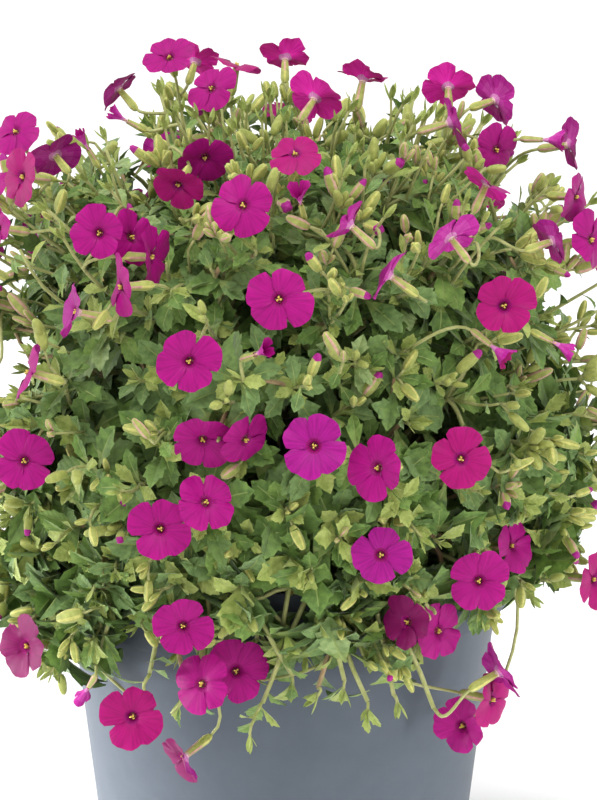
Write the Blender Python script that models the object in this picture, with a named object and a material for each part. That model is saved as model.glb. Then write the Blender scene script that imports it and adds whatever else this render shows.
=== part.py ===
"""A potted aubrieta: a round mound of leafy shoots and four-petalled blooms in a tapered plastic pot.

Units are metres, +Z is up, and the origin is the centre of the pot's flat underside.
"""

import math
import random

import bmesh
import bpy
from mathutils import Matrix, Vector
from mathutils.bvhtree import BVHTree

# Pot: smooth moulded plastic, tapered, with a deep collar round the top
POT_HEIGHT = 0.115
POT_FOOT_RADIUS = 0.0495
POT_NECK_RADIUS = 0.0593
POT_COLLAR_DEPTH = 0.0210
POT_COLLAR_LOW_RADIUS = 0.0638
POT_RIM_RADIUS = 0.0650
POT_WALL = 0.0018
POT_FLOOR = 0.0025
POT_EDGE = 0.0008
POT_SIDES = 36
DRAIN_HOLES = 4
DRAIN_RING_RADIUS = 0.033
DRAIN_HOLE_RADIUS = 0.004

# Compost: fills the pot to just under the rim
COMPOST_BELOW_RIM = 0.010
FIT_GAP = 0.0003
COMPOST_SIDES = 18

# Woody foot: a short stem that flares on the compost and swells into a round head
HEAD_RADIUS = 0.0070
HEAD_ABOVE_COMPOST = 0.0090
FOOT_FLARE_RADIUS = 0.0085
FOOT_NECK_RADIUS = 0.0050
FOOT_SIDES = 10

# Boughs: one for each mass of foliage, out from the head
BOUGH_GAP = 0.0004
BOUGH_END = 0.030
BOUGH_BASE_RADIUS = 0.0018
BOUGH_TIP_RADIUS = 0.0013
BOUGH_BOW = 0.0016
BOUGH_STEPS = 2
BOUGH_SIDES = 5

# Mound: a boxy dome, widest at its level, drawn in below to a hem that hangs over the pot's rim
MOUND_RADIUS = 0.092
MOUND_LEVEL = 0.162
MOUND_RISE = 0.074
MOUND_POWER = 3.2
WAIST_RADIUS = 0.085
HEM_RADIUS = 0.084
HEM_LEVEL = 0.064
HEM_POWER = 9.0

# Masses: rings of (name, how many, elevation from the head, azimuth of the first, shoots in each, trails)
MASS_RINGS = (
    ("top", 1, 90.0, 0.0, 5, 0),
    ("upper", 5, 54.0, 54.0, 7, 0),
    ("outer", 8, 14.0, 22.5, 5, 3),
)
SPACE_MARGIN = 0.0004
RIM_CLEARANCE = 0.0012
CORE_REACH = 0.56
CORE_FILL = 0.94
CORE_START = 0.0060
CORE_DETAIL = 1
PIECE_GAP = 0.0002
STEM_SHARE = 0.50
STEM_STEPS = 3

# Shoots: spread over each mass's patch of the mound by a golden spiral
PATCH_SHARE = 0.88
GOLDEN_ANGLE = math.radians(137.508)
SHOOT_BASE_RADIUS = 0.0013
SHOOT_TIP_RADIUS = 0.0008
SHOOT_SIDES = 3
SHOOT_STEPS = 3
SHOOT_ARCH = 0.006
RIM_ARCH = 0.012

# Trails: shoots of the outer masses that bend over the rim and hang outside the pot
TRAIL_DROPS = (0.036, 0.018, 0.045)
TRAIL_RADIUS = 0.0805
TRAIL_TURN = math.radians(13.5)
TRAIL_ARCH = 0.020
TRAIL_ARCH_RADIUS = 0.076
TRAIL_STEPS = 3
TRAIL_NOD = 0.45
TRAIL_LEAVES = (0.56, 0.96)

# Leaves: spoon-shaped, drawn larger than life because they stand for several
LEAF_LENGTH = 0.026
LEAF_WIDTH = 0.0145
LEAF_THICKNESS = 0.0013
LEAF_WIDEST = 0.62
LEAVES_PER_SHOOT = 4
LEAF_FIRST = 0.46
LEAF_LAST = 0.90
LEAF_SPLAYS = (math.radians(52), math.radians(34), math.radians(70))
LEAF_SUNK = 0.0003
LEAF_TURNS = 8
LEAF_LIMIT = 1.05

# Blooms: four petals on a calyx
BLOOM_RADIUS = 0.0096
BLOOM_NOTCH = 0.60
BLOOM_POINTS = 12
BLOOM_DISH = 0.0012
BLOOM_BACK = 0.0024
CALYX_LENGTH = 0.0090
CALYX_RADIUS = 0.0017

SEED = 41

# Colours (red, green, blue), with roughness and metallic value
FINISHES = {
    "pot_plastic": ((0.165, 0.190, 0.225), 0.38, 0.0),
    "compost": ((0.045, 0.028, 0.018), 0.95, 0.0),
    "woody_stem": ((0.200, 0.150, 0.070), 0.80, 0.0),
    "foliage": ((0.115, 0.210, 0.045), 0.60, 0.0),
}

HEAD = Vector((0.0, 0.0, POT_HEIGHT - COMPOST_BELOW_RIM + HEAD_ABOVE_COMPOST))
MOUND = Vector((0.0, 0.0, MOUND_LEVEL))
UP = Vector((0.0, 0.0, 1.0))


def finish(name):
    """The material of that name, made on first use."""
    found = bpy.data.materials.get(name)
    if found:
        return found
    colour, roughness, metallic = FINISHES[name]
    material = bpy.data.materials.new(name)
    material.use_nodes = True
    shader = material.node_tree.nodes["Principled BSDF"]
    shader.inputs["Base Color"].default_value = (*colour, 1.0)
    shader.inputs["Roughness"].default_value = roughness
    shader.inputs["Metallic"].default_value = metallic
    return material


def object_from(bm, name, collection, material=None):
    """A new object that holds the bmesh."""
    mesh = bpy.data.meshes.new(name)
    bm.to_mesh(mesh)
    bm.free()
    if material:
        mesh.materials.append(finish(material))
    made = bpy.data.objects.new(name, mesh)
    collection.objects.link(made)
    return made


def turned(profile, sides):
    """A bmesh turned about Z from a profile of (radius, height) points."""
    bm = bmesh.new()
    points = [bm.verts.new((radius, 0.0, height)) for radius, height in profile]
    edges = [bm.edges.new(pair) for pair in zip(points, points[1:])]
    bmesh.ops.spin(
        bm,
        geom=points + edges,
        cent=(0.0, 0.0, 0.0),
        axis=(0.0, 0.0, 1.0),
        angle=math.tau,
        steps=sides,
        use_merge=True,
    )
    bmesh.ops.remove_doubles(bm, verts=bm.verts, dist=1e-6)
    bmesh.ops.dissolve_degenerate(bm, edges=bm.edges, dist=1e-6)
    bmesh.ops.recalc_face_normals(bm, faces=bm.faces)
    return bm


def pot_outer():
    """The pot's outer profile, from the underside up to the rim."""
    collar_low = POT_HEIGHT - POT_COLLAR_DEPTH
    return [
        (0.0, 0.0),
        (POT_FOOT_RADIUS - POT_EDGE, 0.0),
        (POT_FOOT_RADIUS, POT_EDGE),
        (POT_NECK_RADIUS, collar_low - 2 * POT_EDGE),
        (POT_COLLAR_LOW_RADIUS, collar_low),
        (POT_RIM_RADIUS, POT_HEIGHT - POT_EDGE),
        (POT_RIM_RADIUS - POT_EDGE, POT_HEIGHT),
    ]


def pot_inner(gap=0.0):
    """The pot's inner profile, from the rim down to the floor, drawn in by the gap."""
    collar_low = POT_HEIGHT - POT_COLLAR_DEPTH
    inset = POT_WALL + gap
    return [
        (POT_RIM_RADIUS - inset, POT_HEIGHT),
        (POT_COLLAR_LOW_RADIUS - inset, collar_low + inset),
        (POT_NECK_RADIUS - inset, collar_low - 2 * POT_EDGE),
        (POT_FOOT_RADIUS - inset, POT_FLOOR + gap),
        (0.0, POT_FLOOR + gap),
    ]


def make_pot(collection):
    """The pot's shell, with its drain holes cut by one Boolean."""
    pot = object_from(turned(pot_outer() + pot_inner(), POT_SIDES), "pot", collection, "pot_plastic")
    bm = bmesh.new()
    for step in range(DRAIN_HOLES):
        angle = math.tau * step / DRAIN_HOLES
        place = Matrix.Rotation(angle, 4, "Z") @ Matrix.Translation((DRAIN_RING_RADIUS, 0.0, 0.0))
        bmesh.ops.create_cone(
            bm,
            cap_ends=True,
            segments=8,
            radius1=DRAIN_HOLE_RADIUS,
            radius2=DRAIN_HOLE_RADIUS,
            depth=4 * POT_FLOOR,
            matrix=place,
        )
    cutter = object_from(bm, "drain_hole_cutter", collection)
    cutter.hide_render = True
    cutter.display_type = "WIRE"
    cut = pot.modifiers.new("Drain holes", "BOOLEAN")
    cut.operation = "DIFFERENCE"
    cut.object = cutter
    pot.data.shade_smooth()
    pot.data.set_sharp_from_angle(angle=math.radians(35))


def make_compost(collection):
    """The compost that fills the pot, flat on top."""
    level = POT_HEIGHT - COMPOST_BELOW_RIM
    inner = pot_inner(FIT_GAP)
    top_radius = inner[0][0] - (inner[0][0] - inner[1][0]) * COMPOST_BELOW_RIM / POT_COLLAR_DEPTH
    profile = [(0.0, level), (top_radius, level), *inner[1:]]
    object_from(turned(profile, COMPOST_SIDES), "compost", collection, "compost")


def make_foot(collection):
    """The short woody stem: flared on the compost, necked, and swollen to a round head."""
    ground = POT_HEIGHT - COMPOST_BELOW_RIM + FIT_GAP
    profile = [
        (0.0, ground),
        (FOOT_FLARE_RADIUS, ground),
        (0.5 * (FOOT_FLARE_RADIUS + FOOT_NECK_RADIUS), ground + 0.0012),
        (FOOT_NECK_RADIUS, ground + 0.0030),
    ]
    for step in range(6):
        angle = math.radians(-40 + step * 130 / 6)
        profile.append((HEAD_RADIUS * math.cos(angle), HEAD.z + HEAD_RADIUS * math.sin(angle)))
    profile.append((0.0, HEAD.z + HEAD_RADIUS))
    foot = object_from(turned(profile, FOOT_SIDES), "woody_stem", collection, "woody_stem")
    foot.data.shade_smooth()


def direction_of(azimuth, elevation):
    """A unit vector from an azimuth round Z and an elevation above level, in degrees."""
    level = math.cos(math.radians(elevation))
    return Vector(
        (
            level * math.cos(math.radians(azimuth)),
            level * math.sin(math.radians(azimuth)),
            math.sin(math.radians(elevation)),
        )
    )


def all_masses():
    """(name, direction from the head, shoots, trails) of each mass of foliage."""
    masses = []
    for ring, count, elevation, first, shoots, trails in MASS_RINGS:
        for step in range(count):
            name = ring if count == 1 else f"{ring}_{step + 1}"
            masses.append((name, direction_of(first + 360 * step / count, elevation), shoots, trails))
    return masses


def side_radius(height):
    """The mound's radius at a height at or below its widest level."""
    if height > POT_HEIGHT:
        share = (MOUND_LEVEL - height) / (MOUND_LEVEL - POT_HEIGHT)
        return MOUND_RADIUS + (WAIST_RADIUS - MOUND_RADIUS) * share**1.5
    share = (POT_HEIGHT - height) / (POT_HEIGHT - HEM_LEVEL)
    return WAIST_RADIUS + (HEM_RADIUS - WAIST_RADIUS) * share


def mound_share(point):
    """How far out a point lies: 0 at the mound's middle, 1 on its surface."""
    across = math.hypot(point.x, point.y)
    if point.z > MOUND_LEVEL:
        across /= MOUND_RADIUS
        rise = ((point.z - MOUND_LEVEL) / MOUND_RISE) ** MOUND_POWER
    else:
        across /= max(side_radius(point.z), 1e-6)
        rise = ((MOUND_LEVEL - point.z) / (MOUND_LEVEL - HEM_LEVEL)) ** HEM_POWER
    return (across**MOUND_POWER + rise) ** (1 / MOUND_POWER)


def reach(direction, share=1.0):
    """The distance from the head to the mound's surface, or to a share of it."""
    near, far = 0.0, 0.2
    for _ in range(30):
        middle = (near + far) / 2
        if mound_share(HEAD + direction * middle) < share:
            near = middle
        else:
            far = middle
    return near


def clear_of_pot(point, margin=RIM_CLEARANCE):
    """True above the rim and the compost, or outside the collar."""
    across = math.hypot(point.x, point.y)
    if point.z > POT_HEIGHT + margin:
        return True
    if across > POT_RIM_RADIUS + margin:
        return True
    return across < POT_RIM_RADIUS - 0.006 and point.z > POT_HEIGHT - COMPOST_BELOW_RIM + margin


class Space:
    """The part of the mound that one mass keeps to: what lies nearer its direction than any other's."""

    def __init__(self, direction, others):
        self.direction = direction
        self.walls = [(direction - other).normalized() for other in others]

    def holds(self, point, margin=SPACE_MARGIN):
        """True if the point is inside the space, past the bough's end and clear of the pot."""
        out = point - HEAD
        if out.dot(self.direction) < BOUGH_END + FIT_GAP:
            return False
        if not clear_of_pot(point):
            return False
        return all(out.dot(wall) > margin for wall in self.walls)

    def holds_all(self, points):
        return all(self.holds(point) for point in points)


def shoot_tips(space, count, share, turn):
    """Tips spread over a mass's patch of the mound by a golden spiral: (point, how far to the edge)."""
    side = space.direction.orthogonal().normalized()
    other = space.direction.cross(side)
    tips = []
    for step in range(count):
        angle = turn + step * GOLDEN_ANGLE
        across = side * math.cos(angle) + other * math.sin(angle)
        lean = 0.0
        while lean < math.radians(75):
            way = space.direction * math.cos(lean) + across * math.sin(lean)
            tip = HEAD + way * reach(way, share)
            if not space.holds(tip) or tip.z < POT_HEIGHT + RIM_ARCH:
                break
            lean += math.radians(1.0)
        part = math.sqrt((step + 0.5) / count)
        lean *= PATCH_SHARE * part
        way = space.direction * math.cos(lean) + across * math.sin(lean)
        tips.append((HEAD + way * reach(way, share), part))
    return tips


def trail_tips(space, count):
    """Tips that hang below the rim, spaced across the front of an outer mass."""
    middle = math.atan2(space.direction.y, space.direction.x)
    tips = []
    for step in range(count):
        angle = middle + (step - (count - 1) / 2) * TRAIL_TURN
        height = POT_HEIGHT - TRAIL_DROPS[step % len(TRAIL_DROPS)]
        tips.append(Vector((TRAIL_RADIUS * math.cos(angle), TRAIL_RADIUS * math.sin(angle), height)))
    return tips


def bend(start, control, end, share):
    """A point on the quadratic curve from start to end."""
    return start * (1 - share) ** 2 + control * 2 * share * (1 - share) + end * share**2


def add_limb(bm, path, radii, sides):
    """A tapering limb along the path, closed at both ends, made by extruding its base."""
    way = (path[1] - path[0]).normalized()
    turn = way.to_track_quat("Z", "Y").to_matrix()
    ring = bmesh.ops.create_circle(
        bm,
        cap_ends=True,
        radius=radii[0],
        segments=sides,
        matrix=Matrix.Translation(path[0]) @ turn.to_4x4(),
    )["verts"]
    end = ring[0].link_faces[0]
    for step in range(1, len(path)):
        ahead = path[min(step + 1, len(path) - 1)] - path[step - 1]
        ahead.normalize()
        new_turn = way.rotation_difference(ahead).to_matrix() @ turn
        made = bmesh.ops.extrude_face_region(bm, geom=[end])["geom"]
        if step > 1:
            bmesh.ops.delete(bm, geom=[end], context="FACES_ONLY")
        moved = [item for item in made if isinstance(item, bmesh.types.BMVert)]
        for vert in moved:
            local = turn.inverted() @ (vert.co - path[step - 1])
            vert.co = path[step] + new_turn @ (local * (radii[step] / radii[step - 1]))
        end = next(item for item in made if isinstance(item, bmesh.types.BMFace))
        way, turn = ahead, new_turn
    bmesh.ops.recalc_face_normals(bm, faces=bm.faces)


def bough_path(direction, bow):
    """The bough's line from the head to its mass, level with its direction at both ends."""
    side = direction.cross(UP if abs(direction.z) < 0.9 else Vector((1, 0, 0))).normalized()
    first = HEAD_RADIUS + BOUGH_GAP
    path = []
    for step in range(BOUGH_STEPS + 1):
        share = step / BOUGH_STEPS
        swing = bow * math.sin(math.pi * share) ** 2
        path.append(HEAD + direction * (first + share * (BOUGH_END - first)) + side * swing)
    return path


def make_bough(name, direction, bow, collection):
    """One bough: a single tapering limb."""
    bm = bmesh.new()
    radii = [
        BOUGH_BASE_RADIUS + (BOUGH_TIP_RADIUS - BOUGH_BASE_RADIUS) * step / BOUGH_STEPS
        for step in range(BOUGH_STEPS + 1)
    ]
    add_limb(bm, bough_path(direction, bow), radii, BOUGH_SIDES)
    bough = object_from(bm, f"{name}_bough", collection, "woody_stem")
    bough.data.shade_smooth()


def leaf_mesh():
    """A spoon-shaped leaf of eight faces, along +X from its root, facing +Z."""
    bm = bmesh.new()
    bmesh.ops.create_uvsphere(bm, u_segments=4, v_segments=2, radius=1.0)
    for vert in bm.verts:
        along = vert.co.x
        vert.co.y *= LEAF_WIDTH / 2
        vert.co.z *= LEAF_THICKNESS / 2
        if abs(along) > 0.5:
            vert.co.x = LEAF_LENGTH if along > 0 else 0.0
        else:
            vert.co.x = LEAF_WIDEST * LEAF_LENGTH
    mesh = bpy.data.meshes.new("leaf")
    bm.to_mesh(mesh)
    bm.free()
    return mesh


def bloom_mesh():
    """Four rounded petals as a notched, slightly dished disc that faces +Z."""
    bm = bmesh.new()
    bmesh.ops.create_cone(
        bm,
        cap_ends=True,
        segments=BLOOM_POINTS,
        radius1=0.0,
        radius2=BLOOM_RADIUS,
        depth=BLOOM_BACK,
        matrix=Matrix.Translation((0.0, 0.0, -BLOOM_BACK / 2)),
    )
    rim = sorted(
        (vert for vert in bm.verts if vert.co.xy.length > BLOOM_RADIUS / 2),
        key=lambda vert: math.atan2(vert.co.y, vert.co.x),
    )
    for vert in rim[::3]:
        vert.co.xy *= BLOOM_NOTCH
    face = next(face for face in bm.faces if len(face.verts) == BLOOM_POINTS)
    centre = bmesh.ops.poke(bm, faces=[face])["verts"][0]
    centre.co.z -= BLOOM_DISH
    bmesh.ops.recalc_face_normals(bm, faces=bm.faces)
    mesh = bpy.data.meshes.new("bloom")
    bm.to_mesh(mesh)
    bm.free()
    return mesh


def frame_matrix(origin, along, facing):
    """A placing matrix: X along the leaf, Z as near the facing as it can be."""
    along = along.normalized()
    across = facing.cross(along).normalized()
    normal = along.cross(across)
    turn = Matrix((along, across, normal)).transposed().to_4x4()
    return Matrix.Translation(origin) @ turn


def placed(mesh, matrix):
    """The mesh's corners where the matrix puts them, with the middles of its edges."""
    corners = [matrix @ vert.co for vert in mesh.vertices]
    middles = [(corners[a] + corners[b]) / 2 for a, b in (edge.vertices for edge in mesh.edges)]
    return corners + middles


def skin_of(bm):
    """A bmesh's surface, grown by the gap that pieces keep from each other."""
    return BVHTree.FromBMesh(bm, epsilon=PIECE_GAP)


class Mass:
    """One mass of foliage while its pieces are gathered for the union."""

    def __init__(self, name, space, counts, leaf, bloom):
        self.name = name
        self.space = space
        self.shoots, self.trails = counts
        self.leaf = leaf
        self.bloom = bloom
        self.rng = random.Random(f"{SEED} {name}")
        self.skins = []
        self.pieces = bpy.data.collections.new(f"{name}_pieces")
        bpy.context.scene.collection.children.link(self.pieces)

    def add_mesh(self, mesh, matrix, own):
        """Adds a shared leaf or bloom if it keeps to the mass's space and clear of all but its own twig."""
        if not self.space.holds_all(placed(mesh, matrix)):
            return False
        bm = bmesh.new()
        bm.from_mesh(mesh)
        bm.transform(matrix)
        skin = skin_of(bm)
        bm.free()
        if any(skin.overlap(other) for other in self.skins if other is not own):
            return False
        self.skins.append(skin)
        piece = bpy.data.objects.new(mesh.name, mesh)
        piece.matrix_world = matrix
        self.pieces.objects.link(piece)
        return True

    def add_bmesh(self, bm, name):
        """Adds a piece made for this mass, and returns its surface."""
        skin = skin_of(bm)
        self.skins.append(skin)
        object_from(bm, name, self.pieces)
        return skin

    def stem_path(self):
        """The stem from just past the bough's tip to the middle of the mass."""
        first = BOUGH_END + FIT_GAP
        last = first + STEM_SHARE * (reach(self.space.direction) - first)
        return [
            HEAD + self.space.direction * (first + (last - first) * step / STEM_STEPS)
            for step in range(STEM_STEPS + 1)
        ]

    def add_core(self):
        """The dense heart of the mass: a sphere whose points are pulled in to the space."""
        heart = HEAD + self.space.direction * (
            BOUGH_END + 0.5 * (reach(self.space.direction, CORE_REACH) - BOUGH_END)
        )
        bm = bmesh.new()
        bmesh.ops.create_icosphere(bm, subdivisions=CORE_DETAIL, radius=1.0)
        for vert in bm.verts:
            way = vert.co.normalized()
            length = 0.0
            while length < 0.1:
                point = heart + way * (length + 0.0005)
                started = (point - HEAD).dot(self.space.direction) > BOUGH_END + CORE_START
                inside = mound_share(point) < CORE_REACH and self.space.holds(point, 0.001)
                if not (started and inside):
                    break
                length += 0.0005
            vert.co = heart + way * length * CORE_FILL
        self.add_bmesh(bm, "core")

    def add_shoot(self, tip, part, stem):
        """A shoot that ends on the mound's surface, facing out."""
        outward = (tip - MOUND).normalized()
        facing = outward + UP * (0.30 * max(outward.z, 0.0))
        facing = (facing + self.jitter(0.22)).normalized()
        start = stem[0].lerp(stem[-1], 0.20 + 0.75 * (1 - part))
        neck = tip - facing * (CALYX_LENGTH + BLOOM_BACK)
        control = start.lerp(neck, 0.5) + UP * SHOOT_ARCH
        curve = (start, control, neck)
        return self.add_twig(curve, SHOOT_STEPS, facing, tip, outward, (LEAF_FIRST, LEAF_LAST))

    def add_trail(self, tip, step, stem):
        """A shoot that bends over the rim and hangs outside the pot, its bloom nodding."""
        out = Vector((tip.x, tip.y, 0.0)).normalized()
        facing = (out - UP * TRAIL_NOD + self.jitter(0.15)).normalized()
        start = stem[0].lerp(stem[-1], 0.45 + 0.2 * step)
        neck = tip - facing * (CALYX_LENGTH + BLOOM_BACK)
        control = out * TRAIL_ARCH_RADIUS + UP * (POT_HEIGHT + TRAIL_ARCH)
        return self.add_twig((start, control, neck), TRAIL_STEPS, facing, tip, out, TRAIL_LEAVES)

    def add_twig(self, curve, steps, facing, tip, outward, leaf_shares):
        """The twig along a curve from the stem, swollen at its calyx, with a bloom at its tip."""
        neck = curve[2]
        path = [bend(*curve, step / steps) for step in range(steps + 1)]
        radii = [
            SHOOT_BASE_RADIUS + (SHOOT_TIP_RADIUS - SHOOT_BASE_RADIUS) * step / steps
            for step in range(steps + 1)
        ]
        radii[-1] = CALYX_RADIUS
        path.append(tip - facing * BLOOM_DISH * 1.6)
        radii.append(CALYX_RADIUS * 0.6)
        wide = SHOOT_BASE_RADIUS + SPACE_MARGIN
        if not all(self.space.holds(point, wide) for point in path):
            return None
        bm = bmesh.new()
        add_limb(bm, path, radii, SHOOT_SIDES)
        twig = self.add_bmesh(bm, "twig")
        spin = Matrix.Rotation(self.rng.uniform(0, math.tau), 4, "Z")
        stand = facing.to_track_quat("Z", "Y").to_matrix().to_4x4()
        self.add_mesh(self.bloom, Matrix.Translation(tip) @ stand @ spin, twig)
        return curve, outward, twig, leaf_shares, self.rng.uniform(0, math.tau)

    def add_leaf(self, shoot, step):
        """One leaf, turned on from the last by the golden angle, and round again where it would touch."""
        curve, outward, twig, (first, last), turn = shoot
        share = first + (last - first) * step / (LEAVES_PER_SHOOT - 1)
        root = bend(*curve, share)
        way = (bend(*curve, share + 0.02) - root).normalized()
        side = way.orthogonal().normalized()
        for attempt in range(LEAF_TURNS * len(LEAF_SPLAYS)):
            splay = LEAF_SPLAYS[attempt // LEAF_TURNS]
            angle = turn + step * GOLDEN_ANGLE + attempt * math.tau / LEAF_TURNS
            around = Matrix.Rotation(angle, 3, way) @ side
            along = way * math.cos(splay) + around * math.sin(splay)
            facing = way * math.sin(splay) - around * math.cos(splay) + outward * 0.3
            if mound_share(root + along * LEAF_LENGTH) > LEAF_LIMIT:
                continue
            if self.add_mesh(self.leaf, frame_matrix(root - along * LEAF_SUNK, along, facing), twig):
                return True
        return False

    def jitter(self, size):
        """A small seeded vector."""
        return Vector([self.rng.uniform(-size, size) for _ in range(3)])

    def grow(self, stem):
        """Core, then twigs with their blooms, then leaves up every twig in turn."""
        self.add_core()
        turn = self.rng.uniform(0, math.tau)
        shoots = [self.add_trail(tip, step, stem) for step, tip in enumerate(trail_tips(self.space, self.trails))]
        shoots += [self.add_shoot(tip, part, stem) for tip, part in shoot_tips(self.space, self.shoots, 1.0, turn)]
        shoots = [shoot for shoot in shoots if shoot]
        grown = [
            self.add_leaf(shoot, step)
            for step in reversed(range(LEAVES_PER_SHOOT))
            for shoot in shoots
        ]
        return len(shoots), sum(grown)

    def joined(self, collection):
        """The mass as one solid: stem, core, twigs, leaves and blooms in a single union."""
        stem = self.stem_path()
        bm = bmesh.new()
        add_limb(bm, stem, [BOUGH_TIP_RADIUS] * len(stem), BOUGH_SIDES)
        whole = object_from(bm, f"{self.name}_foliage", collection, "foliage")
        shoots, leaves = self.grow(stem)
        union = whole.modifiers.new("Joined", "BOOLEAN")
        union.operation = "UNION"
        union.operand_type = "COLLECTION"
        union.collection = self.pieces
        union.solver = "MANIFOLD"
        graph = bpy.context.evaluated_depsgraph_get()
        graph.update()
        fused = bpy.data.meshes.new_from_object(whole.evaluated_get(graph), depsgraph=graph)
        whole.modifiers.clear()
        keep_outer_shell(fused)
        whole.data = fused
        whole.data.name = whole.name
        whole.data.materials.clear()
        whole.data.materials.append(finish("foliage"))
        for piece in list(self.pieces.objects):
            bpy.data.objects.remove(piece)
        bpy.data.collections.remove(self.pieces)
        print(f"{whole.name}: {shoots} shoots, {leaves} leaves, {len(fused.polygons)} faces")


def shells_of(bm):
    """The connected sets of faces in a bmesh."""
    left = set(bm.faces)
    shells = []
    while left:
        first = left.pop()
        shell, front = {first}, [first]
        while front:
            for edge in front.pop().edges:
                for face in edge.link_faces:
                    if face in left:
                        left.discard(face)
                        shell.add(face)
                        front.append(face)
        shells.append(shell)
    return shells


def keep_outer_shell(mesh):
    """Fills hollows that the union sealed and drops loose scraps: only the largest shell stays."""
    bm = bmesh.new()
    bm.from_mesh(mesh)
    bmesh.ops.triangulate(bm, faces=bm.faces)
    shells = sorted(shells_of(bm), key=lambda shell: sum(face.calc_area() for face in shell))
    loose = [face for shell in shells[:-1] for face in shell]
    bmesh.ops.delete(bm, geom=loose, context="FACES")
    bm.to_mesh(mesh)
    bm.free()


def clear_scene():
    """Removes whatever the scene holds."""
    for item in list(bpy.data.objects):
        bpy.data.objects.remove(item)


def main():
    clear_scene()
    collection = bpy.context.scene.collection
    make_pot(collection)
    make_compost(collection)
    make_foot(collection)
    masses = all_masses()
    leaf, bloom = leaf_mesh(), bloom_mesh()
    for index, (name, direction, *counts) in enumerate(masses):
        others = [other[1] for other in masses[:index] + masses[index + 1 :]]
        make_bough(name, direction, BOUGH_BOW if index % 2 else -BOUGH_BOW, collection)
        Mass(name, Space(direction, others), counts, leaf, bloom).joined(collection)


main()
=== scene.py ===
# %% [markdown]
# # A potted aubrieta
# A rock cress in full flower is a round mound of thin leafy shoots on a short woody foot. Here the pot, the
# compost, the wood, the shoots, the leaves, the buds and the blooms are made one after the other, each in its
# own cell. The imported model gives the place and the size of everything, so it is loaded first.

import math
import random

import bmesh
import bpy
import numpy as np
from mathutils import Matrix, Vector
from mathutils import noise


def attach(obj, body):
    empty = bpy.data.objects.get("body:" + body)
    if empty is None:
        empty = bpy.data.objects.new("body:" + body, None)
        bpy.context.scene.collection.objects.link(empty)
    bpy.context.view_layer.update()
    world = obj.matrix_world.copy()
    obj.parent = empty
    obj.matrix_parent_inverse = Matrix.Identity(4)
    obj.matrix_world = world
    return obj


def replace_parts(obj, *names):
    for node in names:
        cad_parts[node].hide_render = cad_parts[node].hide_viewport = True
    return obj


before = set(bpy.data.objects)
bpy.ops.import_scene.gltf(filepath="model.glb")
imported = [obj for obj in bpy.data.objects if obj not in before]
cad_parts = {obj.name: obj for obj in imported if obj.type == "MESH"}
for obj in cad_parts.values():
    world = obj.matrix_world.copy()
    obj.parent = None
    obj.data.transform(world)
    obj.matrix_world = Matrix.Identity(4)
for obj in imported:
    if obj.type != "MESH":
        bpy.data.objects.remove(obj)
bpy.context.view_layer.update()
foliage_nodes = sorted(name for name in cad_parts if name.endswith("_foliage"))
bough_nodes = sorted(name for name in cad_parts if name.endswith("_bough"))
print(len(foliage_nodes), "masses of foliage on", len(bough_nodes), "boughs")

# %% [markdown]
# ## The view
# The photograph looks down on the plant by about 18 degrees from a short way off. A long lens at 0.9 m gives
# that view. A bloom that shows in the photograph is put where a line of sight through its middle meets the
# mound, so the camera's directions are kept as values, and a pixel is turned into such a line.

# %% Camera
PHOTO_WIDTH, PHOTO_HEIGHT = 597, 800
LENS_MM, SENSOR_MM = 149.0, 36.0
VIEW_DISTANCE = 0.9
VIEW_DOWN = math.radians(18.5)
AIM = Vector((0.0042, 0.0, 0.1457))
RIGHT = Vector((1.0, 0.0, 0.0))
UP = Vector((0.0, 0.0, 1.0))
TO_CAMERA = Vector((0.0, -math.cos(VIEW_DOWN), math.sin(VIEW_DOWN)))
VIEW_UP = Vector((0.0, math.sin(VIEW_DOWN), math.cos(VIEW_DOWN)))

camera = bpy.data.objects.new("camera", bpy.data.cameras.new("camera"))
camera.data.lens, camera.data.sensor_width = LENS_MM, SENSOR_MM
camera.data.clip_start, camera.data.clip_end = 0.05, 20.0
camera.location = AIM + TO_CAMERA * VIEW_DISTANCE
camera.rotation_mode = "QUATERNION"
camera.rotation_quaternion = (-TO_CAMERA).to_track_quat("-Z", "Y")
bpy.context.scene.collection.objects.link(camera)
bpy.context.scene.camera = camera


def sight(column, row):
    """The direction of the line of sight through a pixel of the photograph."""
    pixel = SENSOR_MM / PHOTO_HEIGHT
    across = RIGHT * (column - PHOTO_WIDTH / 2) * pixel
    upward = VIEW_UP * (PHOTO_HEIGHT / 2 - row) * pixel
    return (across + upward - TO_CAMERA * LENS_MM).normalized()


def pixels_of(points):
    """The columns and rows of the photograph at which points of an array show."""
    lines = np.atleast_2d(points) - np.array(camera.location)
    scale = LENS_MM / SENSOR_MM * PHOTO_HEIGHT / (lines @ -np.array(TO_CAMERA))
    columns = PHOTO_WIDTH / 2 + lines @ np.array(RIGHT) * scale
    return columns, PHOTO_HEIGHT / 2 - lines @ np.array(VIEW_UP) * scale


print("the camera stands at", [round(value, 3) for value in camera.location])

# %% [markdown]
# ## Colours and finishes
# Colours are written as the hex values of a paint chart, and one function makes them linear for the shader.
# Nearly every finish here is a mottle of two close colours with a fine relief, so one function builds it. The
# size of the mottle and the relief are given in millimetres and read from Object coordinates. Petals have
# their streaks along the petal, so theirs read the petal's own UV map.

# %% Helpers for finishes
MM = 0.001
VEIN_SCALE = 2.4


def linear(code):
    """A hex colour as linear red, green, blue and alpha."""
    parts = [int(code[start : start + 2], 16) / 255 for start in (1, 3, 5)]
    return (*[part / 12.92 if part <= 0.04045 else ((part + 0.055) / 1.055) ** 2.4 for part in parts], 1.0)


def add_node(tree, kind, settings=None, links=None):
    """Adds a node, sets its own values or its sockets, and links what feeds it."""
    node = tree.nodes.new(kind)
    for name, value in (settings or {}).items():
        if isinstance(name, int) or name in node.inputs:
            node.inputs[name].default_value = value
        else:
            setattr(node, name, value)
    for name, source in (links or {}).items():
        tree.links.new(source, node.inputs[name])
    return node


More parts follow.
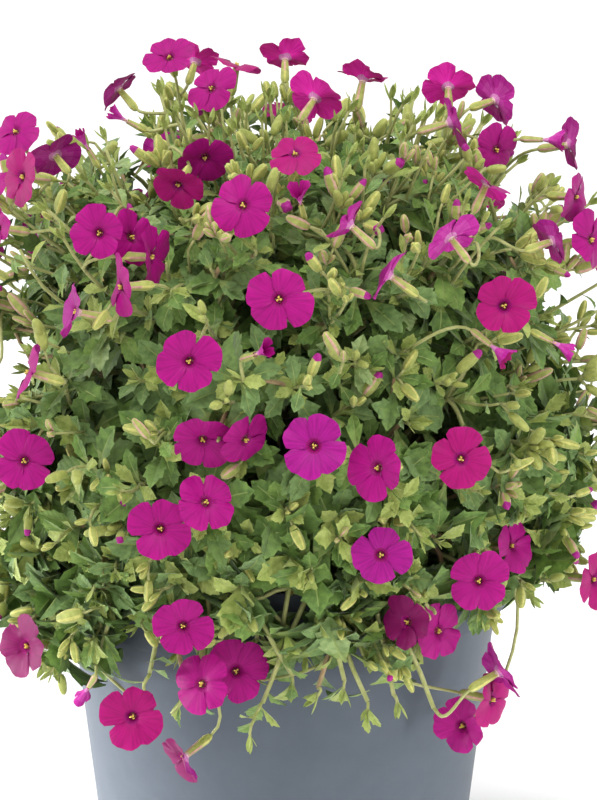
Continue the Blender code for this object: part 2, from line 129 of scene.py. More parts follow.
def mottled(name, dark, light, grain, roughness, relief, relief_grain, sockets=None, streak=None, veins=0.0):
    """A finish that wanders between two colours. Grain, relief and its grain are in millimetres."""
    material = bpy.data.materials.new(name)
    material.use_nodes = True
    tree = material.node_tree
    shader = tree.nodes["Principled BSDF"]
    where = add_node(tree, "ShaderNodeTexCoord")
    source = where.outputs["Object"]
    if streak:
        source = add_node(
            tree, "ShaderNodeMapping", {"Scale": (*streak, 1.0)}, {"Vector": where.outputs["UV"]}
        ).outputs["Vector"]
    scale = 1.0 if streak else 1 / (grain * MM)
    patches = add_node(
        tree, "ShaderNodeTexNoise", {"Scale": scale, "Detail": 4.0, "Roughness": 0.6}, {"Vector": source}
    )
    ramp = add_node(tree, "ShaderNodeValToRGB", None, {"Fac": patches.outputs["Fac"]})
    for stop, colour, place in zip(ramp.color_ramp.elements, (dark, light), (0.34, 0.66)):
        stop.color, stop.position = linear(colour), place
    tree.links.new(ramp.outputs["Color"], shader.inputs["Base Color"])
    fine = add_node(
        tree,
        "ShaderNodeTexNoise",
        {"Scale": 1 / (relief_grain * MM), "Detail": 3.0},
        {"Vector": where.outputs["Object"]},
    )
    height = patches.outputs["Fac"] if streak else fine.outputs["Fac"]
    if veins:
        bands = add_node(
            tree,
            "ShaderNodeTexWave",
            {"Scale": VEIN_SCALE, "Distortion": 2.5, "Detail": 2.0, "Detail Scale": 1.5},
            {"Vector": where.outputs["UV"]},
        )
        raised = add_node(
            tree,
            "ShaderNodeMath",
            {"operation": "MULTIPLY_ADD", 1: veins},
            {0: bands.outputs["Fac"], 2: height},
        )
        height = raised.outputs["Value"]
    bump = add_node(tree, "ShaderNodeBump", {"Strength": 1.0, "Distance": relief * MM}, {"Height": height})
    tree.links.new(bump.outputs["Normal"], shader.inputs["Normal"])
    shader.inputs["Roughness"].default_value = roughness
    for socket, value in (sockets or {}).items():
        shader.inputs[socket].default_value = value
    return material


# %% [markdown]
# The pot is moulded polypropylene: satin, with a faint moulded grain and broad soft highlights. Compost is
# peat and bark, nearly black when moist. The foot is thin brown bark. The young stems are green, with a
# flush of red where the sun reaches them.

# %% Finishes of the pot, the compost and the wood
HAIRY = {"IOR": 1.42, "Sheen Weight": 0.14, "Sheen Roughness": 0.45}
MOULDED = {"IOR": 1.49, "Specular IOR Level": 0.15}
pot_plastic = mottled("satin_polypropylene", "#4f565f", "#535a63", 9.0, 0.45, 0.02, 0.45, MOULDED)
peat = mottled("moist_peat_compost", "#1d130d", "#46301f", 1.6, 0.95, 0.5, 0.8, {"IOR": 1.4})
bark = mottled("thin_brown_bark", "#4a3822", "#84704a", 1.1, 0.85, 0.12, 0.4, {"IOR": 1.45})
stem_finishes = [
    mottled("green_stem", "#8a904e", "#aaab70", 3.0, 0.55, 0.06, 0.35, HAIRY),
    mottled("flushed_stem", "#8a6a4c", "#a8946c", 3.0, 0.55, 0.06, 0.35, HAIRY),
    mottled("old_stem", "#59572f", "#7b7444", 2.0, 0.70, 0.06, 0.40, HAIRY),
]

# %% [markdown]
# Leaves are matt with very short hairs, which give them a greyish bloom. They aren't one green: shoots in
# the light are fresh and those below are grey-green. The lower leaves inside get a lighter green than the mid
# shade, painted light that lifts the shade inside the crown. Each shoot gets one shade for all its grown
# leaves, and the young ones in its middle are yellow-green. The stalk, the rib and the foot of the blade are
# paler too. A few of the lowest leaves have turned yellow.

# %% Finishes of the leaves
LEAF_SHADES = {
    # painted light: a lighter green than mid, for the lower leaves inside the crown
    "deep": ("#566f37", "#728f47"),
    "mid": ("#486528", "#6a893b"),
    "grey": ("#536f38", "#789455"),
    "fresh": ("#597931", "#819d4b"),
    "pale": ("#6b8549", "#97ab6e"),
    "young": ("#819240", "#a2ae5e"),
    "turned": ("#8a7230", "#ac903e"),
}
leaf_finishes = [
    mottled(f"hairy_leaf_{name}", dark, light, 2.2, 0.58, 0.14, 0.9, HAIRY, veins=0.45)
    for name, (dark, light) in LEAF_SHADES.items()
]
leaf_finishes += [
    mottled("leaf_rib", "#7c9049", "#94a561", 4.0, 0.58, 0.06, 0.7, HAIRY),
    mottled("leaf_base", "#6c8340", "#899b52", 3.0, 0.58, 0.09, 0.8, HAIRY),
]
shade_of = {name: index for index, name in enumerate(LEAF_SHADES)}
RIB, BASE = len(LEAF_SHADES), len(LEAF_SHADES) + 1

# %% [markdown]
# Petals are soft and satin. Their magenta runs from a redder to a more violet one, with fine darker streaks
# from the claw to the edge. Their backs are paler, and turn nearly white at the claw. A petal is so thin that
# light shines through it, so blooms that look up and away get a brighter back colour: painted light that
# stands for the light let through. The sepals and the closed buds are yellow-green, and some are flushed with
# pink.

# %% Finishes of the blooms and buds
SATIN = {"IOR": 1.36, "Specular IOR Level": 0.25, "Sheen Weight": 0.02, "Sheen Roughness": 0.4}
STREAKS, THROAT_STREAKS = (16.0, 1.6), (26.0, 2.0)
PETAL_SHADES = {
    "magenta": ("#850560", "#a20975"),
    "rose": ("#880556", "#a10867"),
    "violet": ("#800868", "#a01080"),
    # painted shade: a darker magenta for blooms below the rim that look to the left, under the low lamp
    "deepest": ("#640444", "#7a0652"),
}
petal_finishes = [
    mottled(f"petal_{name}", dark, light, 2.0, 0.50, 0.06, 0.6, SATIN, STREAKS)
    for name, (dark, light) in PETAL_SHADES.items()
]
petal_finishes += [
    mottled("petal_back", "#9c1480", "#bc3098", 2.0, 0.55, 0.06, 0.6, SATIN, STREAKS),
    mottled("petal_faded", "#a42888", "#c248a2", 1.2, 0.55, 0.06, 0.6, SATIN, STREAKS),
    mottled("petal_pale", "#b4589e", "#d094bc", 1.2, 0.55, 0.03, 0.6, SATIN, STREAKS),
    mottled("petal_claw", "#cfa6ae", "#dccbb0", 1.0, 0.55, 0.03, 0.6, SATIN),
    mottled("petal_throat", "#6a0448", "#9a0a70", 0.8, 0.50, 0.06, 0.6, SATIN, THROAT_STREAKS),
    mottled("dark_eye", "#5c0c38", "#86164c", 0.6, 0.60, 0.05, 0.3, SATIN),
    mottled("cream_anther", "#c2a53a", "#e0cc70", 0.5, 0.70, 0.08, 0.2, {"IOR": 1.4}),
    # painted light: a brighter back colour for blooms that look up and away, standing for light shining
    # through
    mottled("petal_back_painted_glow", "#d4189a", "#ec36b4", 2.0, 0.55, 0.06, 0.6, SATIN, STREAKS),
]
BACK, FADED, PALE, CLAW, THROAT_SHADE, EYE, ANTHER, GLOW_PAINTED_BACK = range(len(PETAL_SHADES), len(PETAL_SHADES) + 8)
bud_finishes = [
    mottled("sepal_green", "#8b9547", "#a7ac5b", 1.4, 0.58, 0.12, 0.35, HAIRY),
    mottled("sepal_yellow", "#acaa54", "#c9c575", 1.4, 0.58, 0.12, 0.35, HAIRY),
    mottled("sepal_flushed", "#b08474", "#caa690", 1.4, 0.58, 0.12, 0.35, HAIRY),
    mottled("bud_tip_magenta", "#8c146c", "#a63088", 1.0, 0.50, 0.03, 0.5, SATIN),
]
GREEN, YELLOW, FLUSHED, TIP = range(4)
print(len(bpy.data.materials), "finishes")

# %% [markdown]
# ## The pot
# The pot is a tapered shell with a deep collar, moulded in one piece. Its half section is drawn once and spun
# round the middle, which is how such a shape is thought of by the maker of the mould. Its sizes repeat those
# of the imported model, with more steps round it, so that its edge is a true circle. The drain holes are cut
# with one Boolean, and the sharp moulded edges are rounded by a bevel.

# %% Pot
POT_HEIGHT = 0.115
FOOT_RADIUS = 0.0495
NECK_RADIUS = 0.0593
COLLAR_DEPTH = 0.0210
COLLAR_LOW_RADIUS = 0.0638
RIM_RADIUS = 0.0650
POT_WALL = 0.0018
POT_FLOOR = 0.0025
POT_EDGE = 0.0008
DRAIN_HOLES, DRAIN_RING_RADIUS, DRAIN_HOLE_RADIUS = 4, 0.033, 0.004
ROUND_STEPS = 120
collection = bpy.context.scene.collection


def piece_from(bm, name, finishes, smooth_angle=None):
    """A new object that holds the bmesh, with its finishes."""
    mesh = bpy.data.meshes.new(name)
    bm.to_mesh(mesh)
    bm.free()
    for material in finishes:
        mesh.materials.append(material)
    made = bpy.data.objects.new(name, mesh)
    collection.objects.link(made)
    if smooth_angle:
        mesh.shade_smooth()
        mesh.set_sharp_from_angle(angle=math.radians(smooth_angle))
    return made


def spun(profile, steps=ROUND_STEPS):
    """A bmesh spun about Z from a half section of (radius, height) points."""
    bm = bmesh.new()
    points = [bm.verts.new((radius, 0.0, height)) for radius, height in profile]
    edges = [bm.edges.new(pair) for pair in zip(points, points[1:])]
    bmesh.ops.spin(
        bm, geom=points + edges, cent=(0, 0, 0), axis=(0, 0, 1), angle=math.tau, steps=steps, use_merge=True
    )
    bmesh.ops.remove_doubles(bm, verts=bm.verts, dist=1e-6)
    bmesh.ops.dissolve_degenerate(bm, edges=bm.edges, dist=1e-6)
    bmesh.ops.recalc_face_normals(bm, faces=bm.faces)
    return bm


def pot_section():
    """The pot's half section, up the outside and down the inside."""
    low = POT_HEIGHT - COLLAR_DEPTH
    return [
        (0.0, 0.0),
        (FOOT_RADIUS - POT_EDGE, 0.0),
        (FOOT_RADIUS, POT_EDGE),
        (NECK_RADIUS, low - 2 * POT_EDGE),
        (COLLAR_LOW_RADIUS, low),
        (COLLAR_LOW_RADIUS + 0.3 * POT_EDGE, low + POT_EDGE),
        (RIM_RADIUS, POT_HEIGHT - POT_EDGE),
        (RIM_RADIUS - 0.3 * POT_EDGE, POT_HEIGHT - 0.3 * POT_EDGE),
        (RIM_RADIUS - POT_EDGE, POT_HEIGHT),
        (RIM_RADIUS - POT_WALL, POT_HEIGHT - 0.4 * POT_EDGE),
        (COLLAR_LOW_RADIUS - POT_WALL, low + POT_WALL),
        (NECK_RADIUS - POT_WALL, low - 2 * POT_EDGE),
        (FOOT_RADIUS - POT_WALL, POT_FLOOR),
        (0.0, POT_FLOOR),
    ]


def cut_drain_holes(pot):
    """Cuts the holes through the pot's floor and applies the cut."""
    bm = bmesh.new()
    for step in range(DRAIN_HOLES):
        place = Matrix.Rotation(math.tau * step / DRAIN_HOLES, 4, "Z")
        place @= Matrix.Translation((DRAIN_RING_RADIUS, 0.0, 0.0))
        bmesh.ops.create_cone(
            bm,
            cap_ends=True,
            segments=24,
            radius1=DRAIN_HOLE_RADIUS,
            radius2=DRAIN_HOLE_RADIUS,
            depth=4 * POT_FLOOR,
            matrix=place,
        )
    cutter = piece_from(bm, "drain_hole_cutter", [])
    cut = pot.modifiers.new("Drain holes", "BOOLEAN")
    cut.operation, cut.object = "DIFFERENCE", cutter
    graph = bpy.context.evaluated_depsgraph_get()
    mesh = bpy.data.meshes.new_from_object(pot.evaluated_get(graph), depsgraph=graph)
    pot.modifiers.clear()
    pot.data = mesh
    bpy.data.objects.remove(cutter)


pot = piece_from(spun(pot_section()), "nursery_pot", [pot_plastic], smooth_angle=32)
cut_drain_holes(pot)
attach(pot, "root")
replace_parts(pot, "pot")
print("the pot has", len(pot.data.polygons), "faces")

# %% [markdown]
# ## The compost
# The compost fills the pot to a finger's width under the rim. It isn't flat: crumbs of bark and peat stand up
# a millimetre or so. A spun body has its top divided finely, and a noise lifts and sinks the points there.

# %% Compost
COMPOST_BELOW_RIM = 0.010
FIT_GAP = 0.0003
CRUMB_RISE = 0.0012
CRUMB_SIZE = 0.0035
COMPOST_RINGS = 22
compost_level = POT_HEIGHT - COMPOST_BELOW_RIM
narrower = (RIM_RADIUS - COLLAR_LOW_RADIUS) * COMPOST_BELOW_RIM / COLLAR_DEPTH
top_radius = RIM_RADIUS - POT_WALL - FIT_GAP - narrower
inner = POT_WALL + FIT_GAP
section = [(top_radius * ring / COMPOST_RINGS, compost_level) for ring in range(COMPOST_RINGS + 1)]
section += [
    (COLLAR_LOW_RADIUS - inner, POT_HEIGHT - COLLAR_DEPTH + inner),
    (NECK_RADIUS - inner, POT_HEIGHT - COLLAR_DEPTH - 2 * POT_EDGE),
    (FOOT_RADIUS - inner, POT_FLOOR + FIT_GAP),
    (0.0, POT_FLOOR + FIT_GAP),
]
bm = spun(section, steps=84)
for vert in bm.verts:
    if vert.co.z > compost_level - 1e-5 and vert.co.xy.length < top_radius - 0.0005:
        crumbs = noise.noise(vert.co / CRUMB_SIZE) + 0.5 * noise.noise(vert.co / (0.4 * CRUMB_SIZE))
        vert.co.z += CRUMB_RISE * crumbs
compost = piece_from(bm, "peat_compost", [peat], smooth_angle=50)
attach(compost, "root")
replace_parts(compost, "compost")
print("the compost stands", round(1000 * compost_level), "mm above the floor")

# %% [markdown]
# ## The mound and its masses
# The crown is a boxy dome that hangs over the rim. One function tells how far out a point lies: 0 at the
# middle, 1 on the surface. Fourteen masses share it: one on top, five above and eight round the side. A mass
# keeps to what lies nearer its own direction than any other's, and so do the shoots that fill it.

# %% The mound
HEAD = Vector((0.0, 0.0, 0.114))
HEAD_RADIUS = 0.0070
BOUGH_GAP = 0.0004
BOUGH_END = 0.030
MOUND = Vector((0.0, 0.0, 0.162))
MOUND_RADIUS, MOUND_RISE, MOUND_POWER = 0.092, 0.074, 3.2
WAIST_RADIUS = 0.085
HEM_RADIUS, HEM_LEVEL, HEM_POWER = 0.084, 0.064, 9.0
RIM_CLEARANCE = 0.0012
SPACE_MARGIN = 0.0004


def mound_share(points):
    """How far out each point of an array lies, 1 being the mound's surface."""
    points = np.atleast_2d(points)
    across = np.hypot(points[:, 0], points[:, 1])
    height = points[:, 2]
    upper = np.clip((MOUND.z - height) / (MOUND.z - POT_HEIGHT), 0.0, 1.0)
    lower = np.clip((POT_HEIGHT - height) / (POT_HEIGHT - HEM_LEVEL), 0.0, 1.5)
    radius = MOUND_RADIUS + (WAIST_RADIUS - MOUND_RADIUS) * upper**1.5
    radius = radius + (HEM_RADIUS - WAIST_RADIUS) * lower
    rise = np.where(
        height > MOUND.z,
        (np.maximum(height - MOUND.z, 0.0) / MOUND_RISE) ** MOUND_POWER,
        (np.maximum(MOUND.z - height, 0.0) / (MOUND.z - HEM_LEVEL)) ** HEM_POWER,
    )
    return ((across / radius) ** MOUND_POWER + rise) ** (1 / MOUND_POWER)


def reach(way, share=1.0):
    """The distance from the head along a direction to the mound's surface, or to a share of it."""
    lengths = np.linspace(0.0, 0.2, 801)
    inside = mound_share(np.array(HEAD) + lengths[:, None] * np.array(way)) < share
    return float(lengths[max(int(np.argmin(inside)) - 1, 0)]) if not inside.all() else 0.2


def clear_of_pot(points, margin=RIM_CLEARANCE):
    """True for each point above the rim, outside the collar, or over the compost."""
    points = np.atleast_2d(points)
    across = np.hypot(points[:, 0], points[:, 1])
    over = points[:, 2] > POT_HEIGHT + margin
    outside = across > RIM_RADIUS + margin
    inside = (across < RIM_RADIUS - 0.004) & (points[:, 2] > compost_level + margin)
    return over | outside | inside


def direction_of(azimuth, elevation):
    """A unit vector from degrees round Z and degrees above level."""
    turn, rise = math.radians(azimuth), math.radians(elevation)
    return Vector((math.cos(rise) * math.cos(turn), math.cos(rise) * math.sin(turn), math.sin(rise)))


def height_share(point):
    """0 on the lower half of the mound, 1 at its top."""
    return min(max((point.z - MOUND.z) / (MOUND_RISE - 0.010), 0.0), 1.0)


MASS_RINGS = (
    ("top", 1, 90.0, 0.0, 13, 0),
    ("upper", 5, 54.0, 54.0, 15, 0),
    ("outer", 8, 14.0, 22.5, 15, 11),
)
masses = []
for ring, count, elevation, first, shoots, trails in MASS_RINGS:
    for step in range(count):
        name = ring if count == 1 else f"{ring}_{step + 1}"
        masses.append((name, direction_of(first + 360 * step / count, elevation), shoots, trails))
print("the mound rises to", round(1000 * (MOUND.z + MOUND_RISE)), "mm")

# %% [markdown]
# ### Where it is open
# The crown isn't a solid block: at its edge the sky shows between the sprays, low down the pot does, and in
# the front there are a few dark hollows between the shoots. A slow noise over the lines of sight opens such
# gaps. In the outer part of the crown they go through to the sky, low in front they go to the pot, and in
# between they end at a dark bottom. Only the edge of the leaves against the sky and a few clearings are
# places given one by one. What would grow into an open place is left out, shortened or turned aside.

# %% Open spots
SKYLINE = (  # column, and the row above which there are only blooms
    (-90, 215), (-40, 150), (0, 126), (45, 122), (70, 142), (100, 136), (128, 124), (150, 112),
    (164, 84), (186, 98), (212, 104), (245, 104), (264, 80), (284, 76), (302, 102), (330, 110),
    (346, 97), (366, 106), (384, 92), (414, 97), (436, 104), (457, 92), (476, 114), (500, 130),
    (517, 136), (535, 152), (552, 162), (575, 178), (600, 200), (640, 235), (690, 320),
)
CLEARINGS = (  # column, row, half width, half height
    (600, 628, 82, 44), (548, 672, 52, 48), (6, 710, 60, 40), (568, 140, 9, 24), (530, 170, 12, 12),
    (420, 128, 10, 6),
)
POT_CLEARINGS = ((306, 720, 20, 16), (348, 716, 22, 8), (300, 678, 14, 8))
CROWN_MIDDLE, CROWN_HALF = (298, 380), (305, 300)
SKY_EDGE = 0.78
GAP_PIXELS, GAP_LAYER = 42.0, 7.3
SKY_GAP_FROM, POT_GAP_FROM, HOLLOW_FROM = 0.30, 0.20, 0.42
POT_GAP_ROW, HOLLOW_ROW = 650, 280
HOLLOW_BOTTOM = 0.80


def gap_noise(columns, rows):
    """A slow noise over the picture: the higher it is, the sooner the crown is open there."""
    places = [Vector((x / GAP_PIXELS, y / GAP_PIXELS, GAP_LAYER)) for x, y in zip(columns, rows)]
    return np.array([noise.noise(place) for place in places])


def in_spots(columns, rows, spots):
    """For each pixel, whether it lies in one of the ellipses."""
    x, y, wide, high = np.array(spots, dtype=float).T
    return np.any(((columns[:, None] - x) / wide) ** 2 + ((rows[:, None] - y) / high) ** 2 < 1, axis=1)


def in_open(points):
    """True if any point shows where the crown is open to the sky, to the pot or into a dark hollow."""
    points = np.atleast_2d(np.array(points))
    columns, rows = pixels_of(points)
    skyline = np.interp(columns, *np.array(SKYLINE).T)
    gap = gap_noise(columns, rows)
    across = (columns - CROWN_MIDDLE[0]) / CROWN_HALF[0]
    edge = np.hypot(across, (rows - CROWN_MIDDLE[1]) / CROWN_HALF[1])
    to_sky = (gap > SKY_GAP_FROM) & (edge > SKY_EDGE) & (rows < POT_GAP_ROW)
    to_pot = ((rows > POT_GAP_ROW) & (gap > POT_GAP_FROM)) | in_spots(columns, rows, POT_CLEARINGS)
    dark = (gap > HOLLOW_FROM) & (rows > HOLLOW_ROW) & (mound_share(points) > HOLLOW_BOTTOM)
    open_low = (points[:, 1] < 0) & (to_pot | dark)
    return bool(np.any((rows < skyline) | in_spots(columns, rows, CLEARINGS) | to_sky | open_low))


print(len(CLEARINGS) + len(POT_CLEARINGS), "clearings chosen by hand")

# %% [markdown]
# ## Wood
# The foot is a short stem, flared on the compost and swollen at its head, and a bough runs from it to each
# mass. Old aubrieta wood has thin, ridged bark. A flat grid is rolled round the limb's line, welded along its
# seam, and pushed in and out by a noise that is stretched along the limb, which makes ridges.

# %% Foot and boughs
BARK_RIDGE = 0.16
BARK_SIDES = 14
BOUGH_RADII = (0.0018, 0.0013)
BOUGH_BOW = 0.0016


def rolled(path, radii, sides, steps, ridge):
    """A limb along a path, rolled from a grid, with ridged bark."""
    path, radii = np.array(path), np.array(radii)
    shares = np.linspace(0, 1, len(path))
    bm = bmesh.new()
    bmesh.ops.create_grid(bm, x_segments=sides, y_segments=steps, size=1.0)
    way = Vector(path[-1] - path[0]).normalized()
    side = way.orthogonal().normalized()
    other = way.cross(side)
    for vert in bm.verts:
        angle = math.pi * (vert.co.x + 1)
        share = (vert.co.y + 1) / 2
        middle = Vector([np.interp(share, shares, path[:, axis]) for axis in range(3)])
        radius = float(np.interp(share, shares, radii))
        out = side * math.cos(angle) + other * math.sin(angle)
        relief = noise.noise(out * 3.0 + way * share * 2.5) + 0.5 * noise.noise(out * 7.0 + way * share * 6.0)
        vert.co = middle + out * radius * (1 + ridge * relief)
    bmesh.ops.remove_doubles(bm, verts=bm.verts, dist=1e-6)
    bmesh.ops.holes_fill(bm, edges=[edge for edge in bm.edges if edge.is_boundary], sides=0)
    bmesh.ops.recalc_face_normals(bm, faces=bm.faces)
    return bm


def bough_path(way, bow):
    """The bough's line from the head to its mass."""
    side = way.cross(UP if abs(way.z) < 0.9 else RIGHT).normalized()
    first = HEAD_RADIUS + BOUGH_GAP
    shares = [step / 12 for step in range(13)]
    return [
        HEAD + way * (first + share * (BOUGH_END - first)) + side * bow * math.sin(math.pi * share) ** 2
        for share in shares
    ]


ground = compost_level + FIT_GAP
foot_heights = [0.0, 0.0010, 0.0030, 0.0045, 0.0063, 0.0087, 0.0111, 0.0135, 0.0150, 0.0156]
foot_radii = [0.0085, 0.0068, 0.0050, 0.0054, 0.0064, 0.0070, 0.0064, 0.0044, 0.0024, 0.0006]
foot_bm = rolled([(0, 0, ground + height) for height in foot_heights], foot_radii, 30, 22, 0.10)
foot = piece_from(foot_bm, "woody_foot", [bark], smooth_angle=60)
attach(foot, "root")
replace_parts(foot, "woody_stem")
limbs = bmesh.new()
for index, (name, way, *_) in enumerate(masses):
    bow = BOUGH_BOW if index % 2 else -BOUGH_BOW
    radii = np.linspace(*BOUGH_RADII, 13)
    bough = rolled(bough_path(way, bow), radii, BARK_SIDES, 16, BARK_RIDGE)
    held = bpy.data.meshes.new("bough")
    bough.to_mesh(held)
    bough.free()
    limbs.from_mesh(held)
    bpy.data.meshes.remove(held)
boughs = piece_from(limbs, "woody_boughs", [bark], smooth_angle=60)
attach(boughs, "root")
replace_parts(boughs, *bough_nodes)
print("foot and", len(masses), "boughs:", len(boughs.data.polygons), "faces")

# %% [markdown]
# ## Shoots
# Each mass has a stem that carries on from its bough, and shoots leave that stem for tips that a golden
# spiral spreads evenly over the mass's patch of the mound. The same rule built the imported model. Here it has
# more shoots, and most of them branch. A shoot ends in a rosette of leaves, and a thin flower stalk goes on
# from there. Over the rim, trailing shoots bend down outside the pot, furthest at the front and the back.

# %% The shoots' rule
SEED = 41
GOLDEN_ANGLE = math.radians(137.508)
PATCH_SHARE = 0.93
SHOOT_ARCH = 0.006
RIM_ARCH = 0.004
LOW_STALK, HIGH_STALK = 0.008, 0.033
STALK_RISE = (0.150, 0.216)
STALK_SIDE_LIFT = 0.024
STEM_SHARE = 0.50
TRAIL_DROPS = (0.030, 0.012, 0.041, 0.020, 0.006, 0.036, 0.015, 0.028, 0.002, 0.024, 0.010)
SIDE_DROP = 0.40
HEM = (  # column, and the lowest row of the leaves there
    (-20, 640), (40, 640), (60, 665), (100, 660), (150, 665), (190, 690), (230, 680), (262, 685),
    (290, 660), (330, 655), (352, 660), (378, 670), (402, 680), (442, 680), (458, 665), (472, 635),
    (500, 618), (540, 600), (620, 590),
)
LOW_SPRAYS = (  # column and row of the rosette, and how many degrees to the right it comes over the rim
    (262, 702, 12), (238, 690, -6), (318, 688, 10), (345, 680, -8), (368, 702, -14), (393, 694, -6),
    (410, 704, 8), (434, 708, -14), (452, 692, -6), (62, 650, 4), (100, 656, 6), (150, 674, 6),
    (186, 690, -8), (212, 696, 8), (292, 676, -14),
)
SPRAY_RADIUS = 0.0775
SEARCH_BEFORE = 0.16
POT_SEARCH, MOUND_SEARCH = (0.02, 721), (0.10, 1041)  # how far behind the middle, and steps
HEM_SHARES = (1.0, 0.5, 0.95, 0.7, 0.35, 1.0, 0.6, 0.85, 0.45, 1.0, 0.75)
ROWS_PER_METRE = 3800.0
HEAD_LOW, HEAD_HIGH, BARE_SHARE = 0.55, 0.94, 0.30
TRAIL_RADIUS = 0.0785
TRAIL_TURN = math.radians(4.1)
TRAIL_ARCH = 0.018
TRAIL_ARCH_RADIUS = 0.076


def bend(start, control, end, share):
    """A point on the curve from start to end that leans towards the control point."""
    return start * (1 - share) ** 2 + control * 2 * share * (1 - share) + end * share**2


def stalk_length(rng, tip, outward):
    """How far a flower stalk stands above its leaves: short low down, long on top and at both sides."""
    height = tip.z + STALK_SIDE_LIFT * outward.x**2 * (tip.z > POT_HEIGHT + 0.02)
    share = min(max((height - STALK_RISE[0]) / (STALK_RISE[1] - STALK_RISE[0]), 0.0), 1.0)
    return (LOW_STALK + (HIGH_STALK - LOW_STALK) * share) * rng.uniform(0.75, 1.25)


def has_head(rng, stalk):
    """Whether a stalk carries buds: most long ones do."""
    return rng.random() < HEAD_LOW + (HEAD_HIGH - HEAD_LOW) * min(stalk / HIGH_STALK, 1.0)


def jitter(rng, size):
    """A small seeded vector."""
    return Vector([rng.uniform(-size, size) for _ in range(3)])


def patch_tips(way, walls, count, turn):
    """Directions from the head spread over a mass's patch, with how far to its edge each one is."""
    side = way.orthogonal().normalized()
    other = way.cross(side)
    tips = []
    for step in range(count):
        angle = turn + step * GOLDEN_ANGLE
        across = side * math.cos(angle) + other * math.sin(angle)
        lean = 0.0
        while lean < math.radians(75):
            line = way * math.cos(lean) + across * math.sin(lean)
            tip = line * reach(line)
            if (HEAD + tip).z < POT_HEIGHT + RIM_ARCH or any(tip.dot(wall) < SPACE_MARGIN for wall in walls):
                break
            lean += math.radians(2.0)
        part = math.sqrt((step + 0.5) / count)
        lean *= PATCH_SHARE * part
        tips.append((way * math.cos(lean) + across * math.sin(lean), part))
    return tips


def hem_drop(out, share):
    """How far a trail at the front hangs below the rim, so that it ends at the photograph's lowest leaves."""
    column, row = pixels_of(out * TRAIL_RADIUS + UP * POT_HEIGHT)
    lowest = np.interp(column[0], *np.array(HEM).T)
    return min(max(share * (lowest - row[0]) / ROWS_PER_METRE, 0.0), POT_HEIGHT - HEM_LEVEL - 0.008)


HEADS = (  # column and row of heads of buds that the photograph shows
    (56, 131), (48, 145), (96, 137), (106, 150), (160, 93), (172, 87), (181, 110), (165, 127),
    (154, 160), (196, 116), (209, 122), (217, 143), (184, 182), (279, 172), (267, 95), (289, 82),
    (247, 110), (111, 171), (187, 228), (326, 103), (350, 109), (404, 102), (391, 97), (427, 115),
    (468, 103), (401, 138), (355, 131), (349, 155), (365, 167), (535, 150), (551, 181), (563, 191),
    (515, 158), (445, 193), (464, 203), (500, 226), (424, 240), (329, 265), (385, 216), (604, 236),
    (493, 125), (431, 144), (506, 136), (303, 106), (262, 120), (338, 120), (375, 112), (415, 122),
    (234, 128), (286, 120), (20, 250), (62, 236),
)
HEAD_STALK, HEAD_RISE, HEAD_BRANCH = 0.024, 0.55, 0.6


class Growth:
    """One leafy end: its shoot's curve, the way it faces, and its flower stalk, with or without buds."""

    def __init__(self, curve, facing, outward, stalk, head, trailing=False, side=False, airy=False):
        self.curve, self.facing, self.outward = curve, facing, outward
        self.head, self.trailing, self.side, self.airy = head, trailing, side, airy
        self.stalk = stalk if head else BARE_SHARE * stalk

    @property
    def rosette(self):
        return self.curve[2]

    @property
    def tip(self):
        return self.rosette + self.facing * self.stalk


# %% Grow the shoots
growths = []
stems = []
for name, way, count, trails in masses:
    rng = random.Random(f"{SEED} {name}")
    walls = [(way - other[1]).normalized() for other in masses if other[0] != name]
    first = BOUGH_END + FIT_GAP
    last = first + STEM_SHARE * (reach(way) - first)
    stem = (HEAD + way * first, HEAD + way * last)
    stems.append(stem)
    turn = rng.uniform(0, math.tau)
    middle = math.atan2(way.y, way.x)
    for step in range(trails):
        angle = middle + (step - (trails - 1) / 2) * TRAIL_TURN + rng.uniform(-0.03, 0.03)
        out = Vector((math.cos(angle), math.sin(angle), 0.0))
        drop = TRAIL_DROPS[step] * (SIDE_DROP + (1 - SIDE_DROP) * out.y**2)
        if out.y < -0.1:
            drop = hem_drop(out, HEM_SHARES[step])
        tip = out * TRAIL_RADIUS + UP * (POT_HEIGHT - drop + rng.uniform(-0.004, 0.004))
        facing = (out * 0.8 - UP * 0.55 + jitter(rng, 0.2)).normalized()
        stalk = rng.uniform(0.006, 0.012)
        start = stem[0].lerp(stem[1], 0.45 + 0.05 * step)
        control = out * TRAIL_ARCH_RADIUS + UP * (POT_HEIGHT + TRAIL_ARCH)
        curve = (start, control, tip - facing * stalk)
        growths.append(Growth(curve, facing, out, stalk, has_head(rng, stalk), trailing=True))
    for line, part in patch_tips(way, walls, count, turn):
        tip = HEAD + line * reach(line, rng.uniform(0.93, 1.0))
        outward = (tip - MOUND).normalized()
        facing = outward + UP * (0.15 + 0.35 * max(outward.z, 0.0)) + jitter(rng, 0.22)
        facing.normalize()
        stalk = stalk_length(rng, tip, outward)
        rosette = tip - facing * stalk
        start = stem[0].lerp(stem[1], 0.20 + 0.75 * (1 - part))
        control = start.lerp(rosette, 0.5) + UP * SHOOT_ARCH + jitter(rng, 0.003)
        growths.append(Growth((start, control, rosette), facing, outward, stalk, has_head(rng, stalk)))
growths = [growth for growth in growths if not in_open(growth.rosette)]


def sight_points(column, row, behind, steps):
    """Points on the line of sight through a pixel, from before the plant to a little behind its middle."""
    lengths = np.linspace(VIEW_DISTANCE - SEARCH_BEFORE, VIEW_DISTANCE + behind, steps)
    return np.array(camera.location) + lengths[:, None] * np.array(sight(column, row))


def first_within(points, measures, limit):
    """The first point whose measure is within the limit, or else the one that comes nearest to it."""
    inside = np.flatnonzero(measures <= limit)
    return Vector(points[inside[0] if len(inside) else int(np.argmin(measures))])


